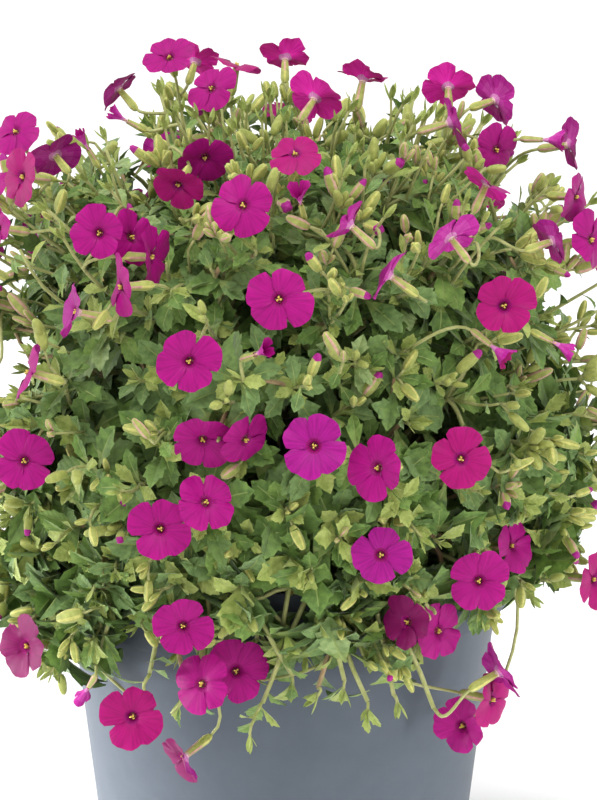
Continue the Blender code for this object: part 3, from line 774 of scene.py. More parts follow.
def before_pot(column, row):
    """Where the line of sight through a pixel meets the sprays that hang before the pot."""
    points = sight_points(column, row, *POT_SEARCH)
    return first_within(points, np.hypot(points[:, 0], points[:, 1]), SPRAY_RADIUS)


def on_mound(column, row, share):
    """Where the line of sight through a pixel meets the mound, or passes it closest."""
    points = sight_points(column, row, *MOUND_SEARCH)
    return first_within(points, mound_share(points), share)


spray_rng = random.Random(f"{SEED} sprays")
main_shoots = list(growths)
outer_stems = stems[-MASS_RINGS[-1][1] :]
for column, row in HEADS:
    place = on_mound(column, row, 0.99)
    outward = (place - MOUND).normalized()
    facing = (outward + UP * HEAD_RISE + jitter(spray_rng, 0.18)).normalized()
    stalk = HEAD_STALK * spray_rng.uniform(0.8, 1.2)
    rosette = place - facing * stalk
    parent = min(main_shoots, key=lambda growth: (growth.rosette - rosette + facing * 0.012).length)
    start = bend(*parent.curve, HEAD_BRANCH)
    curve = (start, start.lerp(rosette, 0.5) + UP * 0.003, rosette)
    growths.append(Growth(curve, facing, outward, stalk, True, airy=True))
for column, row, aside in LOW_SPRAYS:
    rosette = before_pot(column, row)
    out = Vector((rosette.x, rosette.y, 0.0)).normalized()
    over = Matrix.Rotation(math.radians(aside), 3, "Z") @ out
    start, end = min(outer_stems, key=lambda stem: -over.dot((stem[1] - HEAD).normalized()))
    control = over * TRAIL_ARCH_RADIUS + UP * (POT_HEIGHT + TRAIL_ARCH)
    facing = (out * 0.5 - UP * 0.6 - over * 0.2 + jitter(spray_rng, 0.25)).normalized()
    stalk = spray_rng.uniform(0.005, 0.010)
    curve = (start.lerp(end, spray_rng.uniform(0.4, 0.9)), control, rosette)
    growths.append(Growth(curve, facing, out, stalk, has_head(spray_rng, stalk), trailing=True, airy=True))
print(len(growths), "main shoots")

# %% [markdown]
# Most shoots branch: a side shoot leaves about two thirds along or at the rosette, leans away, and ends in a
# smaller rosette of its own between the others. Those from the rosette stand higher, among the flower stalks.
# That makes the mound dense below and airy on top.

# %% Side shoots
SIDE_SHOOTS = 2
SIDE_SPREAD = 0.0125
SIDE_LIMIT = 0.985
SIDE_RISE = 0.5
SKIP_LOW, SKIP_HIGH = 0.18, 0.26
side_rng = random.Random(f"{SEED} side shoots")
for parent in list(growths):
    around = parent.facing.orthogonal().normalized()
    turn = side_rng.uniform(0, math.tau)
    for step in range(1 if parent.airy else SIDE_SHOOTS):
        if side_rng.random() < SKIP_LOW + (SKIP_HIGH - SKIP_LOW) * height_share(parent.rosette):
            continue
        angle = turn + step * GOLDEN_ANGLE
        away = Matrix.Rotation(angle, 3, parent.facing) @ around
        rise = side_rng.uniform(-0.009, SIDE_RISE * parent.stalk)
        start = parent.rosette if rise > 0.003 else bend(*parent.curve, side_rng.uniform(0.50, 0.72))
        spread = SIDE_SPREAD * side_rng.uniform(0.75, 1.25)
        rosette = parent.rosette + away * spread + parent.facing * rise
        facing = (parent.facing + away * side_rng.uniform(0.2, 0.6)).normalized()
        stalk = (parent.stalk - max(rise, 0.0)) * side_rng.uniform(0.5, 0.95)
        outside = mound_share(rosette + facing * stalk)[0] > SIDE_LIMIT
        if outside or in_open(rosette) or not clear_of_pot(rosette, 0.004)[0]:
            continue
        control = start.lerp(rosette, 0.5) + parent.facing * 0.002 + UP * 0.002
        outward = (rosette - MOUND).normalized() if not parent.trailing else parent.outward
        curve, head = (start, control, rosette), has_head(side_rng, stalk)
        shoot = Growth(curve, facing, outward, stalk, head, parent.trailing, side=True, airy=parent.airy)
        growths.append(shoot)
print(len(growths), "leafy ends with side shoots")

# %% [markdown]
# ## Where the blooms are
# The blooms on the side that the photograph shows are set down one by one: where the middle of each is in the
# picture, and how far its face is turned to the right of the viewer and tilted up, in degrees. The line of
# sight gives its place on the mound. On the other sides the shoots' own rule places them, as thickly.

# %% Blooms that the photograph shows
BLOOM_RADIUS = 0.0081
CALYX_LENGTH = 0.0078
THROAT = 0.0016
OPEN_BLOOMS = (  # column, row, turned right, tilted up
    (169, 57, -15, 50), (211, 88, -35, 40), (118, 88, -128, 38), (237, 64, 150, 68),
    (285, 58, 180, 38), (315, 98, 150, 30), (363, 79, 160, 55), (448, 87, 180, 32), (495, 100, 124, 8),
    (450, 123, 96, 15), (569, 145, 100, 5), (295, 153, -10, 62), (487, 183, 140, 50), (577, 197, 60, 5),
    (15, 131, -30, 52), (22, 177, -48, 14), (99, 233, -10, 16), (120, 287, -62, 5),
    (76, 312, -85, 15), (243, 205, 0, 26), (279, 299, 0, 18), (350, 225, -120, 35), (389, 275, -98, 35),
    (450, 237, -140, 35), (553, 241, 118, 10), (504, 306, 6, 18), (189, 361, -5, 14), (27, 372, -95, 15),
    (24, 461, -14, 14), (314, 446, -4, 20), (377, 468, -42, 12), (461, 459, 2, 18), (160, 529, -4, 14),
    (206, 502, 28, 35), (381, 555, 4, 18), (479, 581, 8, 16), (183, 626, -2, 12), (407, 622, -42, 10),
    (26, 646, -50, 10), (132, 717, -6, 6), (201, 684, -28, 20), (184, 757, -60, -28),
    (499, 672, 118, 20), (493, 700, 60, 0), (462, 726, -30, 4), (592, 240, 60, 15), (-2, 228, -60, 15),
    (594, 580, 55, 5),
)
DEEP_BLOOMS = (
    (55, 155, -150, 20), (178, 185, -20, -20), (205, 158, 0, -22), (152, 257, 70, 5), (203, 440, 4, -12),
    (246, 440, 40, -20), (497, 150, 30, -5), (512, 546, 58, 12), (132, 237, 50, 20), (439, 631, 38, 6),
    (236, 671, 10, 28), (195, 62, 165, 35),
)
HALF_OPEN = (
    (87, 147, -60, 60), (125, 120, -80, 30), (493, 347, 60, -30), (555, 343, 80, -25), (88, 688, -150, -48),
    (257, 354, 40, 25), (300, 202, -20, 60), (545, 140, 80, 0),
)
BLOOM_LISTS = (  # places, how far out on the mound, and how far open
    (OPEN_BLOOMS, 1.0, 1.0),
    (DEEP_BLOOMS, 0.90, 0.95),
    (HALF_OPEN, 0.985, 0.35),
)
HALF_SIZE = 0.74
SIZE_ROWS, SIZES = (60, 200, 450), (0.90, 0.94, 1.00)


class Bloom:
    """One bloom: where its middle is, the way it faces, and how far it is open."""

    def __init__(self, place, facing, size, opening, seen):
        self.place, self.facing = place, facing
        self.size, self.opening, self.seen = size, opening, seen
        self.base = place - facing * (CALYX_LENGTH + THROAT) * size


bloom_rng = random.Random(f"{SEED} blooms")
blooms = []
for listed, share, opening in BLOOM_LISTS:
    for column, row, turned, tilted in listed:
        turn, tilt = math.radians(turned), math.radians(tilted)
        level = RIGHT * math.sin(turn) + Vector((0, -1, 0)) * math.cos(turn)
        facing = (level * math.cos(tilt) + UP * math.sin(tilt)).normalized()
        size = bloom_rng.uniform(0.94, 1.05) * (HALF_SIZE if opening < 0.5 else 1.0)
        size *= float(np.interp(row, SIZE_ROWS, SIZES))
        blooms.append(Bloom(on_mound(column, row, share), facing, size, opening, True))
print(len(blooms), "blooms on the side that shows")

# %% Blooms on the other sides
BLOOM_SPACING = 0.0165
HIDDEN_BEHIND, NEAR_SURFACE = 0.80, 0.88
HALF_OPEN_SHARE = 0.12
FRAME_MARGIN = 12


def out_of_sight(place):
    """True for a place that the mound hides from the camera, or that lies beside the photograph's frame."""
    column = pixels_of(place)[0][0]
    beside = column < -FRAME_MARGIN or column > PHOTO_WIDTH + FRAME_MARGIN
    points = np.array(place) + np.linspace(0.012, 0.16, 60)[:, None] * np.array(TO_CAMERA)
    return mound_share(place)[0] > NEAR_SURFACE and (beside or mound_share(points).min() < HIDDEN_BEHIND)


candidates = list(growths)
bloom_rng.shuffle(candidates)
for growth in candidates:
    place = growth.tip + growth.facing * 0.004
    if mound_share(place)[0] > 1.0:
        place = growth.tip
    if not out_of_sight(place) or min((place - other.place).length for other in blooms) < BLOOM_SPACING:
        continue
    facing = (growth.outward + UP * 0.15 + jitter(bloom_rng, 0.5)).normalized()
    opening = 0.35 if bloom_rng.random() < HALF_OPEN_SHARE else 1.0
    size = bloom_rng.uniform(0.92, 1.05) * (HALF_SIZE if opening < 0.5 else 1.0)
    blooms.append(Bloom(place, facing, size, opening, False))
print(len(blooms), "blooms in all")

# %% [markdown]
# What grows in front of a bloom would hide it, so leaves, buds and stalks ask first whether a point is in the
# way: either close before the bloom's face or, on the side that shows, on the line of sight to it.

# %% Room for blooms
def bloom_arrays():
    """Middle, facing and radius of each bloom as arrays."""
    places = np.array([bloom.place for bloom in blooms])
    facings = np.array([bloom.facing for bloom in blooms])
    sizes = np.array([BLOOM_RADIUS * bloom.size for bloom in blooms])
    return places, facings, sizes


BLOOM_PLACES, BLOOM_FACINGS, BLOOM_SIZES = bloom_arrays()
SEEN = np.array([bloom.seen for bloom in blooms])
ROOM_BEHIND, ROOM_AHEAD = -0.0028, 0.016
SIGHT_ROOM = 0.070
FACE_ROOM, SIGHT_WIDTH = 0.98, 0.80  # as shares of the bloom's radius


def covers_bloom(points, own=None):
    """True if any point lies just in front of a bloom's face or, on the side that shows, hides it."""
    others = np.arange(len(blooms)) != own
    for point in points:
        away = np.array(point) - BLOOM_PLACES
        ahead = np.einsum("ij,ij->i", away, BLOOM_FACINGS)
        aside = np.linalg.norm(away - ahead[:, None] * BLOOM_FACINGS, axis=1)
        before = (ahead > ROOM_BEHIND) & (ahead < ROOM_AHEAD)
        if np.any(others & (aside < FACE_ROOM * BLOOM_SIZES) & before):
            return True
        nearer = away @ np.array(TO_CAMERA)
        off_line = np.linalg.norm(away - nearer[:, None] * np.array(TO_CAMERA), axis=1)
        hiding = (nearer > 0.0) & (nearer < SIGHT_ROOM)
        if np.any(others & SEEN & (off_line < SIGHT_WIDTH * BLOOM_SIZES) & hiding):
            return True
    return False


def trail_points(growth):
    """The half of a trailing shoot that hangs outside."""
    return [bend(*growth.curve, share) for share in np.linspace(0.5, 1.0, 7)]


growths = [growth for growth in growths if not (growth.trailing and covers_bloom(trail_points(growth)))]
print(len(growths), "leafy ends leave the blooms free")


# %% [markdown]
# ## Small shapes
# Leaves, buds and petals are made once each with mesh operators and then copied as arrays of points, because
# thousands of separate objects would be slow and would be lost in the export. A shape keeps its points, its
# triangles, which finish each triangle has, and its UV map. A pile gathers copies and joins them at the end.


# %% Shapes and piles
class Shape:
    """A small triangle mesh as arrays."""

    def __init__(self, bm):
        bmesh.ops.triangulate(bm, faces=bm.faces)
        bm.verts.index_update()
        uv = bm.loops.layers.uv.active
        self.points = np.array([vert.co for vert in bm.verts])
        self.faces = np.array([[vert.index for vert in face.verts] for face in bm.faces])
        self.paints = np.array([face.material_index for face in bm.faces])
        self.uvs = np.array(
            [[tuple(loop[uv].uv) if uv else (0.0, 0.0) for loop in face.loops] for face in bm.faces]
        )
        bm.free()


class Pile:
    """Copies of shapes, gathered to be joined into one mesh."""

    def __init__(self):
        self.points, self.faces, self.paints, self.uvs = [], [], [], []
        self.count = self.copies = 0

    def add_arrays(self, points, faces, paints, uvs):
        self.points.append(points)
        self.faces.append(faces + self.count)
        self.paints.append(paints)
        self.uvs.append(uvs)
        self.count += len(points)
        self.copies += 1

    def add(self, shape, matrix, paints):
        """One copy, placed by a matrix. The list of paints turns the shape's finishes into the pile's."""
        matrix = np.array(matrix)
        points = shape.points @ matrix[:3, :3].T + matrix[:3, 3]
        self.add_arrays(points, shape.faces, np.asarray(paints)[shape.paints], shape.uvs)

    def triangles(self):
        return sum(len(faces) for faces in self.faces)

    def joined(self, name, finishes, slot):
        """One piece that holds every copy."""
        points, faces = np.concatenate(self.points), np.concatenate(self.faces)
        mesh = bpy.data.meshes.new(name)
        mesh.vertices.add(len(points))
        mesh.vertices.foreach_set("co", points.astype(np.float32).ravel())
        mesh.loops.add(3 * len(faces))
        mesh.loops.foreach_set("vertex_index", faces.astype(np.int32).ravel())
        mesh.polygons.add(len(faces))
        mesh.polygons.foreach_set("loop_start", np.arange(0, 3 * len(faces), 3, dtype=np.int32))
        mesh.polygons.foreach_set("material_index", np.concatenate(self.paints).astype(np.int32))
        mesh.polygons.foreach_set("use_smooth", np.ones(len(faces), dtype=bool))
        uvs = np.concatenate(self.uvs).astype(np.float32)
        mesh.uv_layers.new(name="UVMap").data.foreach_set("uv", uvs.ravel())
        mesh.update(calc_edges=True)
        for material in finishes:
            mesh.materials.append(material)
        piece = bpy.data.objects.new(name, mesh)
        collection.objects.link(piece)
        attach(piece, "root")
        print(name, "has", self.copies, "copies and", len(faces), "triangles")
        return piece


def standing(place, along, normal, size=1.0):
    """A placing matrix: the shape's X runs along, and its Z is as near the normal as it can be."""
    along = along.normalized()
    across = normal.cross(along).normalized()
    turn = Matrix((along * size, across * size, along.cross(across) * size)).transposed().to_4x4()
    return Matrix.Translation(place) @ turn


# %% [markdown]
# ### Leaves
# An aubrieta leaf is spoon-shaped: a narrow winged stalk, a blade that is widest past its middle, and one to
# three pointed teeth on each side. A grid is shaped row by row: the table gives how far along the leaf each
# row is and how wide it is. The two strips beside the middle line are the rib, which is pale as far as the
# widest part. The blade is folded a little along the rib, and its tip bends down.

# %% Leaf shapes
LEAF_LENGTH = 0.0165
RIB_HALF = 0.021
PETIOLE_END, BASE_END, RIB_END = 0.12, 0.32, 0.80
LEAF_OUTLINES = {  # how far along, half width, both as shares of the length, and how far a tooth points on
    "two_teeth": (
        (0, 0.022, 0), (0.17, 0.045, 0), (0.36, 0.130, 0), (0.52, 0.222, 0.045), (0.60, 0.182, 0),
        (0.74, 0.208, 0.060), (0.80, 0.138, 0), (0.93, 0.072, 0), (1.0, 0.010, 0),
    ),
    "one_tooth": (
        (0, 0.022, 0), (0.17, 0.040, 0), (0.36, 0.110, 0), (0.52, 0.180, 0), (0.65, 0.232, 0.055),
        (0.71, 0.172, 0), (0.83, 0.140, 0.02), (0.93, 0.070, 0), (1.0, 0.010, 0),
    ),
    "diamond": (
        (0, 0.020, 0), (0.18, 0.040, 0), (0.38, 0.105, 0), (0.54, 0.190, 0.020), (0.65, 0.262, 0.050),
        (0.71, 0.190, 0), (0.83, 0.130, 0.015), (0.93, 0.062, 0), (1.0, 0.008, 0),
    ),
    "broad": (
        (0, 0.022, 0), (0.18, 0.050, 0), (0.34, 0.145, 0), (0.47, 0.235, 0.030), (0.53, 0.208, 0),
        (0.66, 0.272, 0.055), (0.72, 0.215, 0), (0.83, 0.160, 0.040), (0.88, 0.105, 0), (1.0, 0.008, 0),
    ),
}
BRACT_OUTLINE = ((0, 0.06, 0), (0.25, 0.125, 0), (0.55, 0.165, 0), (0.82, 0.105, 0), (1.0, 0.008, 0))


def leaf_shape(outline, fold, droop, twist=0.0, petiole=True):
    """A leaf along +X that faces +Z, one unit long: blade 0, stalk and rib 1, foot of the blade 2."""
    bm = bmesh.new()
    uv = bm.loops.layers.uv.new("UVMap")
    segments = len(outline) - 1
    bmesh.ops.create_grid(bm, x_segments=segments, y_segments=4, size=1.0)
    for face in bm.faces:
        middle = face.calc_center_median()
        along = outline[int((middle.x + 1) / 2 * segments)][0]
        inner = abs(middle.y) < 0.5
        if petiole:
            pale = along < PETIOLE_END or (inner and along < RIB_END)
            face.material_index = 1 if pale else 2 * (along < BASE_END)
    for vert in bm.verts:
        row = round((vert.co.x + 1) / 2 * segments)
        lane = round((vert.co.y + 1) * 2) - 2
        along, half, tooth = outline[row]
        rib = min(RIB_HALF * (1.0 - 0.75 * along), 0.6 * half)
        across = half if abs(lane) == 2 else rib if lane else 0.0
        along += tooth if abs(lane) == 2 else 0.0
        across *= math.copysign(1.0, lane)
        lift = abs(across) * math.tan(fold) - 0.010 * (lane == 0)
        turn = droop * along
        arc = along if abs(droop) < 1e-4 else math.sin(turn) / droop
        drop = 0.0 if abs(droop) < 1e-4 else (1 - math.cos(turn)) / droop
        lift += across * math.tan(twist) * along
        vert.co = (arc + lift * math.sin(turn), across, lift * math.cos(turn) - drop)
        for loop in vert.link_loops:
            loop[uv].uv = (along - 0.8 * abs(across), abs(across))
    return Shape(bm)


leaf_shapes = [
    leaf_shape(outline, math.radians(fold), math.radians(droop), math.radians(twist))
    for outline in LEAF_OUTLINES.values()
    for fold, droop, twist in ((16, 22, 6), (9, 48, -8), (24, 4, 0), (12, 70, 10))
]
bract_shapes = [
    leaf_shape(BRACT_OUTLINE, math.radians(20), math.radians(droop), petiole=False) for droop in (-10, 35)
]
print("a toothed leaf has", len(leaf_shapes[0].faces), "triangles")

# %% [markdown]
# ### Buds and calyxes
# A closed bud is a small ellipsoid of four sepals, so its section has four soft lobes. An open bloom stands
# on the same four sepals, drawn out to a tube. A bud starts as a sphere and a calyx as a rolled grid, and
# their points are pulled to the shape. On some buds the petals already show as a magenta tip.

# %% Bud and calyx shapes
BUD_GIRTH = 0.40


def lobed(angle, depth):
    """A radius factor with four lobes."""
    return 1 + depth * math.cos(4 * angle)


def bud_shape(tip_colour):
    """A bud along +X, one unit long, a share of that wide."""
    bm = bmesh.new()
    bmesh.ops.create_uvsphere(bm, u_segments=12, v_segments=6, radius=0.5)
    bmesh.ops.rotate(bm, verts=bm.verts, matrix=Matrix.Rotation(math.pi / 2, 3, "Y"))
    for vert in bm.verts:
        along = vert.co.x + 0.5
        angle = math.atan2(vert.co.z, vert.co.y) + math.pi / 12
        blunt = 1 + 0.32 * abs(2 * along - 1) ** 3
        girth = BUD_GIRTH * lobed(angle, 0.15) * (1.06 - 0.22 * along) * blunt
        vert.co = (along, vert.co.y * girth, vert.co.z * girth)
    bmesh.ops.recalc_face_normals(bm, faces=bm.faces)
    for face in bm.faces:
        middle = face.calc_center_median()
        ridge = math.cos(4 * (math.atan2(middle.z, middle.y) + math.pi / 12)) > 0
        face.material_index = 2 if tip_colour and middle.x > 0.84 else int(ridge and middle.x > 0.12)
    return Shape(bm)


def calyx_shape():
    """A tube of four sepals along +X, one unit long."""
    bm = bmesh.new()
    bmesh.ops.create_grid(bm, x_segments=12, y_segments=6, size=1.0)
    heights = (0.0, 0.07, 0.22, 0.45, 0.72, 0.92, 1.0)
    radii = (0.050, 0.112, 0.146, 0.136, 0.120, 0.108, 0.090)
    for vert in bm.verts:
        angle = math.pi * (vert.co.x + 1) - math.pi / 12
        row = round((vert.co.y + 1) * 3)
        radius = radii[row] * lobed(angle, 0.14)
        along = heights[row] + (0.05 * math.cos(4 * angle) if row == 6 else 0.0)
        vert.co = (along, radius * math.cos(angle), radius * math.sin(angle))
    bmesh.ops.remove_doubles(bm, verts=bm.verts, dist=1e-5)
    bmesh.ops.recalc_face_normals(bm, faces=bm.faces)
    for face in bm.faces:
        middle = face.calc_center_median()
        ridge = math.cos(4 * math.atan2(middle.z, middle.y)) > 0
        face.material_index = (2 if middle.x > 0.45 else 1) if ridge else 0
    return Shape(bm)


bud_shapes = {tipped: bud_shape(tipped) for tipped in (False, True)}
calyx = calyx_shape()
print("a bud has", len(bud_shapes[False].faces), "triangles and a calyx", len(calyx.faces))

# %% [markdown]
# ### Blooms
# Four broad petals overlap to a nearly round face with four shallow notches. Each starts as a grid that is
# laid out in polar fashion: across the grid is round the bloom, and along it is out from the throat. The claw
# dips into the tube, the blade lies nearly flat, and its edge waves. A second sheet just behind the first is
# the paler back. In the throat are a dark eye and the cream anthers.

# %% Bloom shapes
PETAL_HALF_ANGLE = math.radians(50)
PETAL_ROWS = (  # how far out, and how high
    (0.09, -0.20), (0.13, -0.07), (0.24, 0.0), (0.48, 0.03), (0.72, 0.035), (0.89, 0.02), (1.0, 0.0),
)
NOTCHES = (0.0, 0.0, 0.02, 0.05)
PETAL_LANES = 10
SHEET_GAP = 0.012
FRONT_PAINTS = (3, 7, 0, 0, 0, 0)
BACK_PAINTS = ((2, 5, 6, 1, 1, 1), (2, 5, 6, 6, 1, 1))
PETAL_ROUND = 2.6


def add_petal(bm, uv, angle, tilt_at, rng, back):
    """One sheet of a petal of a bloom of radius 1 that faces +Z. The tilt at an angle lifts its edge."""
    rows = len(PETAL_ROWS) - 1
    made = bmesh.ops.create_grid(bm, x_segments=PETAL_LANES, y_segments=rows, size=1.0)["verts"]
    phase, ruffle = rng.uniform(0, math.tau), rng.uniform(0.02, 0.05)
    notch = rng.choice(NOTCHES)
    lean, length = rng.uniform(-0.09, 0.09), rng.uniform(0.88, 1.06)
    spread, corner = PETAL_HALF_ANGLE * rng.uniform(0.97, 1.08), rng.uniform(0.48, 0.64)
    for face in {face for vert in made for face in vert.link_faces}:
        for loop in face.loops:
            loop[uv].uv = ((loop.vert.co.x + 1) / 2, (loop.vert.co.y + 1) / 2)
        middle = face.calc_center_median()
        row = int((middle.y + 1) / 2 * rows)
        face.material_index = (BACK_PAINTS[abs(middle.x) < 0.35] if back else FRONT_PAINTS)[row]
        if back:
            face.normal_flip()
    for vert in made:
        side, row = vert.co.x, round((vert.co.y + 1) / 2 * rows)
        out, height = PETAL_ROWS[row]
        arc = (1 - min(abs(side), 1.0) ** PETAL_ROUND) ** (1 / PETAL_ROUND)
        edge = length * (corner + (1 - corner) * arc - notch * math.exp(-((side / 0.20) ** 2)))
        edge += 0.6 * ruffle * math.sin(9 * side + phase) + 0.4 * lean * side
        radius = out * (edge if out > 0.3 else 1.0)
        turn = angle + side * (spread if row > 1 else 0.95 * PETAL_HALF_ANGLE)
        tilt = tilt_at(turn) + lean * (1 - side * side)
        lift = height + 0.020 * side * (out > 0.2) + ruffle * math.sin(8 * side + 2 * phase) * out**3
        lift += radius * math.sin(tilt) * (out > 0.2) - (SHEET_GAP * (1 - 0.7 * out) if back else 0.0)
        flat = radius * math.cos(tilt)
        vert.co = (flat * math.cos(turn), flat * math.sin(turn), lift)


def bloom_shape(cup, warp, seed):
    """A bloom of radius 1 that faces +Z: petals 0, backs 1, 5 and 6, claws 2, eye 3, anthers 4, throat 7."""
    rng = random.Random(f"{SEED} bloom {seed}")
    bm = bmesh.new()
    uv = bm.loops.layers.uv.new("UVMap")
    waves = [(times, warp * rng.uniform(0.4, 1.0), rng.uniform(0, math.tau)) for times in (1, 2, 3)]

    def tilt_at(turn):
        return cup + sum(size * math.sin(times * turn + phase) for times, size, phase in waves)

    for step in range(4):
        angle = step * math.pi / 2 + rng.uniform(-0.08, 0.08)
        state = rng.getstate()
        for back in (False, True):
            rng.setstate(state)
            add_petal(bm, uv, angle, tilt_at, rng, back)
    eye = bmesh.ops.create_circle(
        bm, cap_ends=True, radius=0.13, segments=8, matrix=Matrix.Translation((0, 0, -0.14))
    )["verts"]
    for face in {face for vert in eye for face in vert.link_faces}:
        face.material_index = 3
    for step in range(4):
        angle = step * math.tau / 3 + rng.uniform(-0.4, 0.4)
        out, height = (rng.uniform(0.045, 0.065), rng.uniform(-0.02, 0.03)) if step < 3 else (0.0, -0.03)
        place = Matrix.Translation((out * math.cos(angle), out * math.sin(angle), height))
        tilt = Matrix.Rotation(rng.uniform(-0.4, 0.4), 4, "X") @ Matrix.Diagonal((0.034, 0.034, 0.070, 1.0))
        grain = bmesh.ops.create_uvsphere(bm, u_segments=5, v_segments=4, radius=1.0, matrix=place @ tilt)
        for face in {face for vert in grain["verts"] for face in vert.link_faces}:
            face.material_index = 4
    return Shape(bm)


flat_blooms = [bloom_shape(math.radians(cup), 0.07, index) for index, cup in enumerate((4, 9, -3, 1, 13, -7))]
loose_blooms = [bloom_shape(math.radians(cup), 0.11, 10 + index) for index, cup in enumerate((4, 13, -4))]
half_blooms = [bloom_shape(math.radians(cup), 0.05, 20 + index) for index, cup in enumerate((58, 68))]
print("a bloom has", len(flat_blooms[0].faces), "triangles")

# %% [markdown]
# ## Stems
# A stem is a thin tube along its curve. The tubes are the simplest arrays of all: rings of points round the
# curve, and triangles between one ring and the next. Stalks of blooms leave the nearest leafy end below them
# and arch into the calyx from behind.


# %% Tubes
def tube_faces(rings, sides):
    """The triangles between rings of points, with a cap at each end."""
    faces = []
    for ring in range(rings - 1):
        for side in range(sides):
            a, b = ring * sides + side, ring * sides + (side + 1) % sides
            faces += [(a, b, b + sides), (a, b + sides, a + sides)]
    first, last, end = rings * sides, rings * sides + 1, (rings - 1) * sides
    for side in range(sides):
        after = (side + 1) % sides
        faces += [(first, after, side), (last, end + side, end + after)]
    return np.array(faces)


TUBE_CACHE = {}


def add_tube(pile, path, radii, sides, paint):
    """Adds a closed tube along the path."""
    path = np.array(path, dtype=float)
    if (len(path), sides) not in TUBE_CACHE:
        TUBE_CACHE[len(path), sides] = tube_faces(len(path), sides)
    faces = TUBE_CACHE[len(path), sides]
    ways = np.gradient(path, axis=0)
    ways /= np.linalg.norm(ways, axis=1)[:, None]
    angles = np.arange(sides) * math.tau / sides
    side = np.array(Vector(ways[0]).orthogonal().normalized())
    rings = []
    for point, way, radius in zip(path, ways, radii):
        side = side - way * side.dot(way)
        side /= np.linalg.norm(side)
        other = np.cross(way, side)
        rings.append(point + radius * (np.cos(angles)[:, None] * side + np.sin(angles)[:, None] * other))
    points = np.vstack([*rings, path[:1], path[-1:]])
    pile.add_arrays(points, faces, np.full(len(faces), paint), np.zeros((len(faces), 3, 2)))


def swept(start, leave, arrive, end, steps):
    """A curve that leaves its start along one direction and arrives at its end along another."""
    pull = (end - start).length / 3
    first, second = start + leave * pull, end - arrive * pull
    points = []
    for step in range(steps + 1):
        s = step / steps
        points.append(
            start * (1 - s) ** 3 + first * 3 * s * (1 - s) ** 2 + second * 3 * s**2 * (1 - s) + end * s**3
        )
    return points


# %% Stems, shoots and stalks
GREEN_STEM, FLUSHED_STEM, OLD_STEM = range(3)
MASS_STEM_RADII = (0.0013, 0.0011)
SHOOT_RADII = (0.00095, 0.00062)
SIDE_RADII = (0.00070, 0.00050)
STALK_RADII = (0.00055, 0.00042)
PEDICEL_RADII = (0.00050, 0.00042)
SHOOT_STEPS, SIDE_STEPS, STALK_STEPS = 9, 6, 4
SHORT_STALK = 0.003
STALK_SHARES = (1.0, 0.75, 0.55, 0.4)
CARRIER_CHOICES = 22
LONG_PEDICEL, OPEN_COST, COVER_COST = 0.020, 0.9, 3.0
DETOUR_COST, OUTER_BY, BEHIND_FACE = 0.02, 0.02, 0.002
FLUSHED_STEMS = 0.30
stem_pile = Pile()
stem_rng = random.Random(f"{SEED} stems")


def crosses_face(points, bloom):
    """True if any point of a stalk lies before the face of its own bloom."""
    facing = np.array(bloom.facing)
    away = np.array(points) - np.array(bloom.place)
    ahead = away @ facing
    aside = np.linalg.norm(away - ahead[:, None] * facing, axis=1)
    return bool(np.any((ahead > -BEHIND_FACE) & (aside < BLOOM_RADIUS * bloom.size)))


def stalk_points(growth, sway):
    """The line of a flower stalk, bowed a little."""
    shares = np.linspace(0, 1, STALK_STEPS + 1)
    return [growth.rosette + growth.facing * growth.stalk * s + sway * math.sin(math.pi * s) for s in shares]


for start, end in stems:
    path = [start.lerp(end, step / 8) + jitter(stem_rng, 0.0003) for step in range(9)]
    add_tube(stem_pile, path, np.linspace(*MASS_STEM_RADII, 9), 6, OLD_STEM)
for growth in growths:
    steps = SIDE_STEPS if growth.side else SHOOT_STEPS
    radii = SIDE_RADII if growth.side else SHOOT_RADII
    path = [bend(*growth.curve, step / steps) + jitter(stem_rng, 0.00025) for step in range(steps + 1)]
    paint = FLUSHED_STEM if stem_rng.random() < FLUSHED_STEMS else GREEN_STEM
    add_tube(stem_pile, path, np.linspace(*radii, steps + 1), 5, paint)
    sway, whole = jitter(stem_rng, 0.0015), growth.stalk
    for share in STALK_SHARES:
        growth.stalk = whole * share
        growth.stalk_path = stalk_points(growth, sway * share)
        if not (covers_bloom(growth.stalk_path[1:]) or in_open(growth.stalk_path[1:])):
            break
    else:
        growth.stalk, growth.head = min(whole, SHORT_STALK), False
        growth.stalk_path = stalk_points(growth, 0.3 * sway)
    add_tube(stem_pile, growth.stalk_path, np.linspace(*STALK_RADII, STALK_STEPS + 1), 4, GREEN_STEM)
joints = [(growth, step) for growth in growths for step in range(1, STALK_STEPS)]
ends = np.array([growth.stalk_path[step] for growth, step in joints])
longest = 0.0
for index, bloom in enumerate(blooms):
    base = np.array(bloom.base)
    gaps = np.linalg.norm(ends - base, axis=1)
    outer = mound_share(ends) > mound_share(base) + OUTER_BY
    ahead = (ends - base) @ np.array(bloom.facing) > BEHIND_FACE
    nearest = np.argsort(gaps + DETOUR_COST * outer + DETOUR_COST * ahead)[:CARRIER_CHOICES]
    best, least = None, None
    for carrier, step in [joints[place] for place in nearest]:
        start = carrier.stalk_path[step]
        path = swept(start, carrier.facing, bloom.facing, bloom.base + bloom.facing * 0.0006, 8)
        cost = (start - bloom.base).length / LONG_PEDICEL
        cost += OPEN_COST * sum(in_open(point) for point in path[1:6])
        cost += COVER_COST * (covers_bloom(path[:-1], own=index) + crosses_face(path[:-1], bloom))
        if least is None or cost < least:
            best, least = path, cost
    longest = max(longest, (best[0] - bloom.base).length)
    add_tube(stem_pile, best, np.linspace(*PEDICEL_RADII, 9), 5, GREEN_STEM)
print("longest stalk of a bloom:", round(1000 * longest), "mm")

